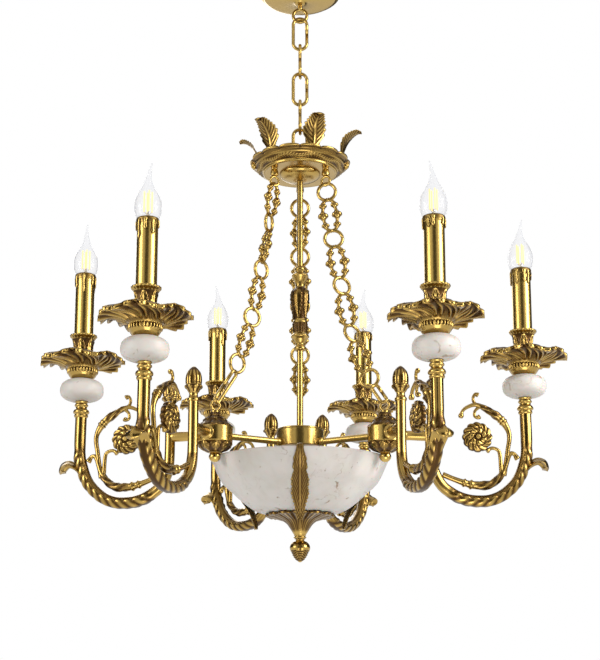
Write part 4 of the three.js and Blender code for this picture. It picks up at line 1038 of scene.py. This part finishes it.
bud = lathe(BUD_LINE, 90, 72, bud_relief, 0.95, [(2, 28)])
bud.moved((0, 0, low("bottom_finial")[2])).make("bud_finial", cast_brass, "antique_brass", "bottom_finial")
print("cup foot at", round(cup_low, 1), "bud points:", bud.count)

# %% [markdown]
# ## Hub and spokes
#
# The hub and the spokes are plain turned tubes with a satin finish. They could be cylinders, but a turned
# line also gives the small groove and the collars, and a spoke is the same shape laid on its side.

# %% Hub and spokes
hub_low, hub_high = low("hub")[2], high("hub")[2]
hub_line = crisp([(0.1, hub_low), (31.6, hub_low), (32.5, hub_low + 0.7), (32.5, hub_high - 3.2),
                  (32.0, hub_high - 2.9), (32.6, hub_high - 2.4), (32.5, hub_high - 0.9),
                  (31.6, hub_high - 0.2), (30.4, hub_high - 0.8), (8, hub_high - 1.0), (7.6, hub_high - 0.1),
                  (0.1, hub_high - 0.1)])
hub_groove = 0.8 * np.exp(-((hub_line[:, 1:] - hub_high + 2.9) / 0.35) ** 2)
Shell().add(turned(hub_line, 128), hub_groove + 0.05).make("turned_hub", satin_brass, "satin_brass", "hub")
for drum in DRUMS:
    x, y, _ = drum_axis[drum]
    inner_end, outer_end = 32.3, math.hypot(x, y) - 23.3
    bar_line = [(0.1, inner_end), (6.0, inner_end), (6.0, inner_end + 4.4), (4.45, inner_end + 5.4),
                (4.45, outer_end - 1.4), (5.4, outer_end - 0.8), (5.4, outer_end), (0.1, outer_end)]
    spoke = Shell().add(turned(crisp(bar_line), 40), 0.1).laid()
    spoke.moved((0, 0, spoke_z), drum_azimuth[drum]).make(
        f"spoke_rod_{drum}", satin_brass, "satin_brass", f"spoke_{drum}")
print("hub from", round(hub_low, 1), "to", round(hub_high, 1))

# %% [markdown]
# ## Drums
#
# Each drum is a plain can that joins two arms to a spoke. Over it stands a leafy crown with an eye for the
# side chain, and under it hangs a leafy cup with a polished ball. The crown and cup are turned and take
# the acanthus relief. They are pieces of their own, because their finish is darker than the can's.

# %% Drums
def drum_shells():
    """A plain can, and the castings over and under it, about Z with the can's middle at 0."""
    wall = crisp([(0.1, -10.5), (22.9, -10.5), (23.5, -9.9), (23.5, 9.9), (22.9, 10.5), (0.1, 10.5)])
    can = Shell().add(turned(wall, 96))
    crown = lathe([(0.1, 10), (20.6, 10), (20.9, 12), (18.2, 14.5), (14.6, 17.5), (13.2, 20.5), (10.4, 23),
                   (7.8, 25), (7.2, 28), (5.4, 30.5), (5.4, 33), (3.4, 34.2), (0.1, 34.4)], 110, 96,
                  lambda angle, height: leaves_round(angle, height, 8, 10.5, 22.0, lobes=3)
                  + leaves_round(angle, height, 6, 20.0, 30.5, 0.5, 3), 2.6, [(11, 30.5)])
    cup = lathe([(0.1, -10), (19.4, -10), (20.6, -12.6), (19.6, -16), (16.6, -19.6), (12.2, -22),
                 (8.6, -23.4), (7.4, -24.6), (0.1, -24.6)], 80, 96,
                lambda angle, height: leaves_round(angle, -height, 8, 10.4, 24.0, lobes=3), 2.4,
                [(-24, -11)])
    ball = lathe([(0.1, -37.0), (3.2, -36.3), (5.8, -34.4), (7.6, -31.5), (7.9, -28.8), (7.0, -25.9),
                  (5.4, -24.2), (0.1, -24)], 50, 48)
    return can, crown.joined(cup), ball


def ring_shell(radius, wire, stretch=0.0, columns=14, steps=64):
    """A wire ring in the XZ plane, drawn out by stretch along Z; its two ends meet face to face."""
    turn = np.linspace(0, TURN, steps)
    across, up = np.cos(turn), np.sin(turn)
    drawn = stretch / 2 * np.sign(up) * (np.abs(up) > 1e-6)
    centre = np.stack([radius * across, 0 * turn, radius * up + drawn], 1)
    out = np.stack([across, 0 * turn, up], 1)
    angle = round_angles(columns)[None, :, None]
    across_wire = np.cos(angle) * out[:, None, :] + np.sin(angle) * np.array([0, 1.0, 0])
    return Shell().add(centre[:, None, :] + wire * across_wire, 0.1)


DRUM_EYE_DROP = 8.2
eye_z = {drum: high(f"drum_{drum}")[2] for drum in DRUMS}
for drum in DRUMS:
    x, y, _ = drum_axis[drum]
    can, castings, ball = drum_shells()
    place = (x, y, spoke_z)
    can.moved(place).make(f"drum_can_{drum}", satin_brass, "satin_brass", f"drum_{drum}")
    castings.joined(ring_shell(6.3, 1.7).moved((0, 0, eye_z[drum] - spoke_z - DRUM_EYE_DROP)))
    castings.moved(place, drum_azimuth[drum]).make(
        f"drum_casting_{drum}", cast_brass, "satin_brass", f"drum_{drum}")
    ball.moved(place).make(f"drum_ball_{drum}", polished_brass, "satin_brass", f"drum_{drum}")
print("drum eyes top at", eye_z[1])

# %% [markdown]
# ## The stem
#
# The stem is a thin tube in two lengths, with a turned and leafy vase between them. Five leaves hang from
# the vase's shoulder and flutes ring its foot. They come from the same relief functions as the ornament of
# the arms and drums, so the castings look like one family.

# %% Stem
for name, node in (("upper_tube", "stem_upper_tube"), ("lower_tube", "stem_lower_tube")):
    start, end = low(node)[2], high(node)[2]
    radius = (high(node) - low(node))[0] / 2
    Shell().add(turned(crisp([(0.1, start), (radius, start), (radius, end), (0.1, end)]), 64), 0.1).make(
        name, satin_brass, "satin_brass", node)
VASE_LINE = [(0.1, 0), (7.4, 0), (8.7, 3.6), (7.0, 7), (6.6, 10), (9.4, 15.6), (13.0, 19.8), (10.4, 24),
             (9.0, 26), (9.6, 33), (10.3, 40.5), (9.4, 43), (8.9, 47), (9.8, 56), (11.6, 68), (12.3, 79),
             (11.0, 86), (8.2, 89.5), (6.3, 93), (7.4, 99), (10.4, 105.6), (12.0, 109), (9.8, 111.6),
             (6.6, 114), (7.6, 118), (6.4, 121.5), (0.1, 122.3)]


def vase_relief(angle, height):
    """Five leaves that hang from the shoulder, and flutes round the foot."""
    leaves = leaves_round(angle, 137 - height, 5, 46, 92, lobes=7)
    return leaves + 0.5 * ridges(9 * angle) * (height > 25) * (height < 39)


vase = lathe(VASE_LINE, 220, 80, vase_relief, 1.7, [(25, 39), (45, 91)])
vase.moved((0, 0, low("stem_vase")[2])).make("leafy_vase", cast_brass, "satin_brass", "stem_vase")
print("vase points:", vase.count)

# %% [markdown]
# ## The canopy
#
# The canopy is a dished casting with fourteen scallops in its rim, a band of vine leaves and two studs,
# and a small dome in its middle. Three knobs below it carry the eyes of the side chains. The dish is one
# profile from the middle out and back again, and the scallops pull the rim in and down between their
# crests. The vine is a wave in the angle, with leaflets as cosines across it.

# %% Canopy
CANOPY_SCALLOPS = 14
CANOPY_HEIGHT = 19.0
STUD_RADIUS = 67.0
STUD_HEIGHT = 13.2
EYE_RADIUS = 42.0
EYE_DROP = 18.4
EYE_WIRE_RADIUS = 1.75
canopy_base = high("canopy")[2] - CANOPY_HEIGHT


def canopy_shell(columns=252):
    """The dish: flat under side, leaf band, cove and scalloped rim, then the inside down to the middle."""
    line = smooth_path([(0.1, 0), (46, 0), (50.4, -0.2), (52.4, 0.3), (53.5, 1.4), (53.2, 2.8), (55, 3.8),
                        (60, 6.8), (63.4, 9.2), (64.8, 10.9), (65.6, 12.9), (67, 14.6), (69.4, 15.3),
                        (71.4, 15.8), (72.3, 17.3), (71.6, 18.8), (69.8, 18.9), (67.8, 16.9), (64, 13.6),
                        (55, 7.4), (46, 5), (0.1, 5)], 180)
    angle = round_angles(columns)[None, :]
    radius, height = line[:, :1], line[:, 1:]
    scallop = ridges(CANOPY_SCALLOPS / 2 * angle, 0.5)
    out = eased(radius, 65.5, 70)
    band = eased(radius, 54, 55) * (1 - eased(radius, 62.4, 64)) * (height < 0.9 * (radius - 49))
    off = radius - 59 - 1.8 * np.sin(9 * angle)
    leaflets = ridges(45 * angle - 0.5 * np.abs(off), 1.5) * (1 - eased(np.abs(off), 2.6, 4.0))
    vine = np.maximum(np.exp(-(off / 0.7) ** 2), leaflets)
    leafy = band * vine ** 1.4
    radius = radius * (1 - 0.055 * out * (1 - scallop)) + leafy * 0.9
    lift = canopy_base + height - leafy * 0.9 + 1.6 * out * (scallop - 1)
    grid = about_z(radius, angle, lift)
    # The cove under the rim gets more depth, so it is darker: painted shade in the recess.
    cove = eased(radius, 64, 65) * (1 - eased(radius, 69, 70)) * (height < 15.6)
    depth = PLAIN + band * (0.6 - 0.7 * vine) + 0.3 * cove + out * 0.7 * (1 - scallop) ** 2
    return Shell().add(grid, np.clip(depth, 0, 1))


def stud():
    """A domed cabochon in a beaded collar, looking along +X."""
    line = [(0.1, -3), (5.4, -3), (5.6, 0.6), (4.6, 1.2), (4.4, 0.8), (3.8, 2.4), (2.2, 3.4), (0.1, 3.8)]
    return lathe(line, 40, 40).laid()


canopy = canopy_shell()
for angle in (math.pi / 2, -math.pi / 2):
    place = (math.sin(angle) * STUD_RADIUS, -math.cos(angle) * STUD_RADIUS, canopy_base + STUD_HEIGHT)
    canopy.joined(stud().moved(place, angle))
canopy.make("cast_canopy", cast_brass, "satin_brass", "canopy")
dome_low, dome_high = low("canopy_dome")[2], high("canopy_dome")[2]
swell = np.linspace(0, math.pi / 2, 24)
dome_line = np.stack([29.4 * np.sin(swell) + 0.05, dome_high - (dome_high - dome_low) * np.cos(swell)], 1)
Shell().add(turned(np.concatenate([dome_line, [(0.05, dome_high)]]), 96)).make(
    "canopy_dome_shell", cast_brass, "satin_brass", "canopy_dome")
knobs = Shell()
knob_line = [(0.1, 0.4), (4.4, 0.4), (4.4, -1), (4.9, -2.5), (5.6, -6), (5.7, -9.8), (4.9, -10.6),
             (0.1, -10.6)]
for drum in DRUMS:
    azimuth = drum_azimuth[drum]
    x, y = math.sin(azimuth) * EYE_RADIUS, -math.cos(azimuth) * EYE_RADIUS
    knobs.joined(lathe(knob_line, 50, 40).moved((x, y, canopy_base)))
    knobs.joined(ring_shell(6.6, EYE_WIRE_RADIUS).moved((x, y, canopy_base - EYE_DROP), azimuth))
knobs.make("canopy_knobs", satin_brass, "satin_brass", "canopy")
print("canopy points:", canopy.count, "rim at", round(canopy_base + CANOPY_HEIGHT, 1))

# %% [markdown]
# ## The crown
#
# Six free leaves stand on the canopy's rim and lean out at the top. They are the same leaf as on the bowl,
# with a wider blade, a cupped face and deeper notches, made once and turned by sixths.

# %% Crown
crown_low = low("canopy_crown")[2]
crown = Shell()
leaf_curve = np.array([(0, 0), (1, 8), (3.5, 17), (8, 26), (15, 33), (22.5, 37), (28.4, 36.2)]) + (61.4, 0)
crown_leaf = leaf_shell(leaf_curve, (9, 12.5, 15.5, 17.5, 17.2, 15.5, 13, 11, 9, 5),
                        (1.0, 1.0, 0.9, 0.9, 0.9, 1.2), 160, 64, 9, 0.14, 0.4, 0.2)
for sixth in range(6):
    crown.joined(crown_leaf.moved((0, 0, crown_low), math.radians(18 + 60 * sixth)))
crown.make("crown_leaves", cast_brass, "satin_brass", "canopy_crown")
print("crown points:", crown.count)

# %% [markdown]
# ## The suspension chain
#
# The lamp hangs on plain oval links that take quarter turns, between a loop under the ceiling plate and
# the loop on the canopy. A link is a round wire carried along an oval. Each rides on its own body, so that
# the chain can swing.

# %% Suspension chain and ceiling plate
LINK_LONG, LINK_WIDE, LINK_WIRE = 53.6, 24.8, 4.9
HANGER_LONG = 37.8


def oval_link(outer_long, outer_wide, wire):
    """A chain link in the XZ plane, its middle at 0."""
    radius = (outer_wide - wire) / 2
    return ring_shell(radius, wire / 2, outer_long - outer_wide, columns=18, steps=96)


for step in range(1, 5):
    node = f"chain_link_{step}"
    azimuth = math.pi / 2 if step % 2 else 0.0
    oval_link(LINK_LONG, LINK_WIDE, LINK_WIRE).moved((0, 0, middle(node)[2]), azimuth).make(
        f"oval_link_{step}", cast_brass, "antique_brass", node, f"link_{step}")
loop_top = high("canopy_loop")[2]
hanger = oval_link(HANGER_LONG, LINK_WIDE, LINK_WIRE).moved((0, 0, loop_top - 19.0), math.pi / 2)
stalk_line = [(0.1, 0), (10.8, 0), (10.8, 3), (9.4, 4.4), (6, 5.4), (4.6, 10), (4.6, 27), (0.1, 27.6)]
hanger.joined(lathe(stalk_line, 60, 40).moved((0, 0, low("canopy_loop")[2])))
hanger.make("canopy_hanger", cast_brass, "antique_brass", "canopy_loop")
plate_low = low("ceiling_plate")[2]
rose_line = [(0.1, plate_low), (6.6, plate_low), (11, plate_low + 4.2), (27.5, plate_low + 7.6),
             (49, plate_low + 10.2), (54.6, plate_low + 12.8), (54.8, -0.1), (0.1, -0.1)]
lathe(rose_line, 120, 96).make("ceiling_rose", satin_brass, "satin_brass", "ceiling_plate", "ceiling")
hook_low, hook_high = low("ceiling_loop")[2], high("ceiling_loop")[2]
top_hook = oval_link(LINK_WIDE, LINK_WIDE, LINK_WIRE).moved((0, 0, hook_low + LINK_WIDE / 2), math.pi / 2)
top_hook.joined(lathe([(0.1, hook_low + 22), (3, hook_low + 22), (3, hook_high), (0.1, hook_high)], 30, 24))
top_hook.make("ceiling_hook", cast_brass, "antique_brass", "ceiling_loop", "ceiling")
print("suspension runs from", round(loop_top, 1), "to", round(hook_low, 1))

# %% [markdown]
# ## The side chains
#
# Each side chain runs from a canopy eye to a drum eye: plain rings alternate with cast links of two bars,
# each bar with three flower bosses, and one long link ends it. Links could be laid by a curve modifier,
# but it would bend them. Here each keeps its shape and is moved to its place on a hanging curve. The order
# of the links and how far each is spun follow the left and right chains of the photo; the back one is
# mostly hidden.

# %% Side chains
SIDE_RING, ORNAMENT, CHAIN_WIRE = 29.8, 53.0, 4.8


def flower(size):
    """A four-petalled floret, seen from +Y, with a button."""
    share = np.concatenate([np.linspace(0.03, 1, 10), np.linspace(1, 0.03, 10)[1:]])[:, None]
    face = np.where(np.arange(19) < 10, 1.0, -1.0)[:, None]
    angle = round_angles(28)[None, :]
    petal = ridges(2 * angle, 0.5)
    reach = size * share * (0.62 + 0.38 * petal)
    high_part = face * size * (0.55 * np.sqrt(1 - share ** 2 * 0.98) + 0.18 * petal * np.sin(np.pi * share))
    return Shell().add(np.stack([reach * np.cos(angle), high_part + 0 * angle, reach * np.sin(angle)], -1),
                       np.clip(1 - petal + 0.3 * (1 - share), 0, 1) * 0.8)


def ornament_link():
    """Two bars side by side, each with three florets, joined by a bow at each end."""
    link = Shell()
    for hand in (-1, 1):
        path = [(0, ORNAMENT / 2 - 2), (hand * 5.5, ORNAMENT / 2 - 5), (hand * 8.2, 15), (hand * 9.8, 0),
                (hand * 8.2, -15), (hand * 5.5, -ORNAMENT / 2 + 5), (0, -ORNAMENT / 2 + 2)]
        link.joined(rod(path, (2.6, 2.6, 2.4, 2.4, 2.4, 2.6, 2.6), 32, 10))
        for height, size in ((15, 5.8), (0, 7.6), (-15, 5.8)):
            link.joined(flower(size).moved((hand * (9.8 - 0.007 * height * height), 0, height)))
    return link


def tilted(shell, spin, direction, place):
    """Spins a piece about its length, lays that along a direction in the XZ plane, and moves it there."""
    lie = math.atan2(direction[0], -direction[1])
    copy = shell.moved(azimuth=math.pi / 2 + spin)
    turn = np.array([[math.cos(lie), 0, -math.sin(lie)], [0, 1, 0], [math.sin(lie), 0, math.cos(lie)]])
    copy.points = [points @ turn.T + (place[0], 0, place[1]) for points in copy.points]
    return copy


EYE_INSIDE = 5.0
CHAIN_STEPS = 800
TANGENT_REACH = 3
eye_start = np.array([EYE_RADIUS, canopy_base - EYE_DROP - EYE_INSIDE])
chain_end = np.array([math.hypot(*drum_axis[1][:2]), eye_z[1] - DRUM_EYE_DROP + EYE_INSIDE])
CHAIN_SHARES = ((0, 0), (0.114, 0.213), (0.247, 0.423), (0.423, 0.655), (0.706, 0.869), (1, 1))
chain_line = smooth_path(eye_start + np.array(CHAIN_SHARES) * (chain_end - eye_start), CHAIN_STEPS)
chain_run = np.linalg.norm(np.diff(chain_line, axis=0), axis=1).sum()
LEFT_CHAIN = [("ornament", 25), ("ring", 40), ("ornament", 85), ("ring", 20), ("ornament", 20), ("ring", 8),
              ("ornament", 20), ("ring", 15), ("long", 25)]
RIGHT_CHAIN = [("ring", 20), ("ornament", 25), ("ring", 30), ("ornament", 25), ("ring", 60),
               ("ornament", 20), ("ring", 65), ("ornament", 25), ("ring", 10), ("long", 40)]
BACK_CHAIN = [("ring", 90), ("ornament", 60), ("ring", 90), ("ornament", 75), ("ring", 90), ("ornament", 70),
              ("ring", 80), ("ornament", 60), ("long", 15)]
shells = {"ring": ring_shell((SIDE_RING - CHAIN_WIRE) / 2, CHAIN_WIRE / 2), "ornament": ornament_link()}
lengths = {"ring": SIDE_RING, "ornament": ORNAMENT}
overlap = 1.14 * CHAIN_WIRE
for drum in DRUMS:
    start = -overlap / 2
    whole = Shell()
    order = (LEFT_CHAIN, RIGHT_CHAIN, BACK_CHAIN)[drum - 1]
    lengths["long"] = chain_run - sum(lengths[kind] for kind, spin in order[:-1]) + overlap * len(order)
    shells["long"] = oval_link(lengths["long"], 14.0, CHAIN_WIRE)
    print("side chain", drum, round(chain_run, 1), "long link", round(lengths["long"], 1))
    for kind, spin in order:
        at = (start + lengths[kind] / 2) / chain_run * (CHAIN_STEPS - 1)
        index = int(np.clip(at, TANGENT_REACH, CHAIN_STEPS - 1 - TANGENT_REACH))
        direction = chain_line[index + TANGENT_REACH] - chain_line[index - TANGENT_REACH]
        link = tilted(shells[kind], math.radians(spin), direction, chain_line[index])
        whole.joined(link.moved(azimuth=drum_azimuth[drum]))
        start += lengths[kind] - overlap
    whole.make(f"ornament_chain_{drum}", cast_brass, "satin_brass", f"side_chain_{drum}")

# %% [markdown]
# ## The world
#
# The photo is a cut-out on white. The world is white for the camera's rays, for reflections and through
# glass, and dimmer for the light on the lamp, so that the ground is clean and the brass keeps its colour.
# A picture of a studio would do the same, but this needs no file.

# %% World
world = bpy.data.worlds.new("white")
bpy.context.scene.world = world
world.use_nodes = True
nodes, links = world.node_tree.nodes, world.node_tree.links
path_rays = nodes.new("ShaderNodeLightPath")
WHITE_RAYS = ("Is Camera Ray", "Is Glossy Ray", "Is Transmission Ray")
seen = path_rays.outputs[WHITE_RAYS[0]]
for kind in WHITE_RAYS[1:]:
    either = nodes.new("ShaderNodeMath")
    either.operation = "MAXIMUM"
    links.new(seen, either.inputs[0])
    links.new(path_rays.outputs[kind], either.inputs[1])
    seen = either.outputs[0]
strength = nodes.new("ShaderNodeMapRange")
strength.inputs["To Min"].default_value = 0.42
links.new(seen, strength.inputs["Value"])
background = nodes["Background"]
background.inputs["Color"].default_value = (1, 1, 1, 1)
links.new(strength.outputs[0], background.inputs["Strength"])
print("world white for", WHITE_RAYS)

# %% [markdown]
# ## Lamps
#
# Large soft lamps give the round tubes their broad highlights: a key at the right, a weaker fill at the
# left, one from below for the under sides, and one behind for the rims.

# %% Lamps
def lamp(name, place, target, size, power):
    """A square area lamp, sizes in metres, that looks at a target."""
    light = bpy.data.lights.new(name, "AREA")
    light.size, light.energy = size, power
    holder = bpy.data.objects.new(name, light)
    bpy.context.scene.collection.objects.link(holder)
    holder.location = place
    look = np.array(target) - np.array(place)
    around = math.atan2(look[0], -look[1]) + math.pi
    holder.rotation_euler = (math.atan2(np.hypot(*look[:2]), -look[2]), 0, around)


CENTRE = (0, 0, -0.5)
lamp("key", (1.9, -0.9, 0.1), CENTRE, 1.1, 48)
lamp("fill", (-1.9, -1.1, -0.2), CENTRE, 0.9, 20)
lamp("below", (0.3, -1.3, -1.8), CENTRE, 0.9, 10)
lamp("back", (-0.6, 1.9, 0.4), CENTRE, 1.2, 14)
print("lamps look at", CENTRE)

# %% [markdown]
# ## Dark cards and the floor
#
# Bright brass in a white room looks flat, so a studio hangs dark cards where only reflections see them:
# they give the tubes their brown streaks. The floor is pale, glows a little for the same rays as the
# world, and keeps the lamp's shadow.

# %% Cards and floor
def flat_card(name, across, up, centre, azimuth, colour):
    """An upright rectangle in metres that faces an azimuth, with a plain finish."""
    mesh = bpy.data.meshes.new(name)
    half, tall = across / 2, up / 2
    corners = np.array([(-half, 0, -tall), (half, 0, -tall), (half, 0, tall), (-half, 0, tall)])
    mesh.from_pydata((corners @ turn_about_z(azimuth).T + centre).tolist(), [], [(0, 1, 2, 3)])
    finish = Finish(name, Base_Color=(0, 0, 0, 1), Roughness=1.0, Emission_Color=colour,
                    Emission_Strength=1.0)
    mesh.materials.append(finish.material)
    card = bpy.data.objects.new(name, mesh)
    bpy.context.scene.collection.objects.link(card)
    card.visible_camera = False
    card.visible_diffuse = False
    card.visible_transmission = False
    card.visible_shadow = False


DARK_CARD = (0.035, 0.032, 0.028, 1)
flat_card("back_card", 5.0, 2.2, (0, 2.6, 0.7), 0.0, DARK_CARD)
flat_card("right_card", 2.8, 2.2, (2.5, 1.2, 0.7), math.pi / 2, DARK_CARD)
flat_card("left_card", 2.8, 2.2, (-2.5, 1.2, 0.7), math.pi / 2, DARK_CARD)
flat_card("camera_card", 2.0, 2.9, (0, -2.9, -0.15), 0.0, DARK_CARD)
FLOOR_HALF, FLOOR_Z = 6.0, -2.3
floor_mesh = bpy.data.meshes.new("floor")
floor_corners = [(x * FLOOR_HALF, y * FLOOR_HALF, FLOOR_Z) for x, y in ((-1, -1), (1, -1), (1, 1), (-1, 1))]
floor_mesh.from_pydata(floor_corners, [], [(0, 1, 2, 3)])
floor_finish = Finish("pale floor", Base_Color=(0.6, 0.6, 0.6, 1), Roughness=0.9, Emission_Strength=0.8)
rays = [floor_finish.node("ShaderNodeLightPath", {}, {}, kind) for kind in WHITE_RAYS]
glow = (rays[0] + rays[1] + rays[2]).clipped()
floor_finish.set(Emission_Color=floor_finish.between(glow, (0, 0, 0, 1), (1, 1, 1, 1)))
floor_mesh.materials.append(floor_finish.material)
floor = bpy.data.objects.new("floor", floor_mesh)
bpy.context.scene.collection.objects.link(floor)
print("floor at", FLOOR_Z, "m")
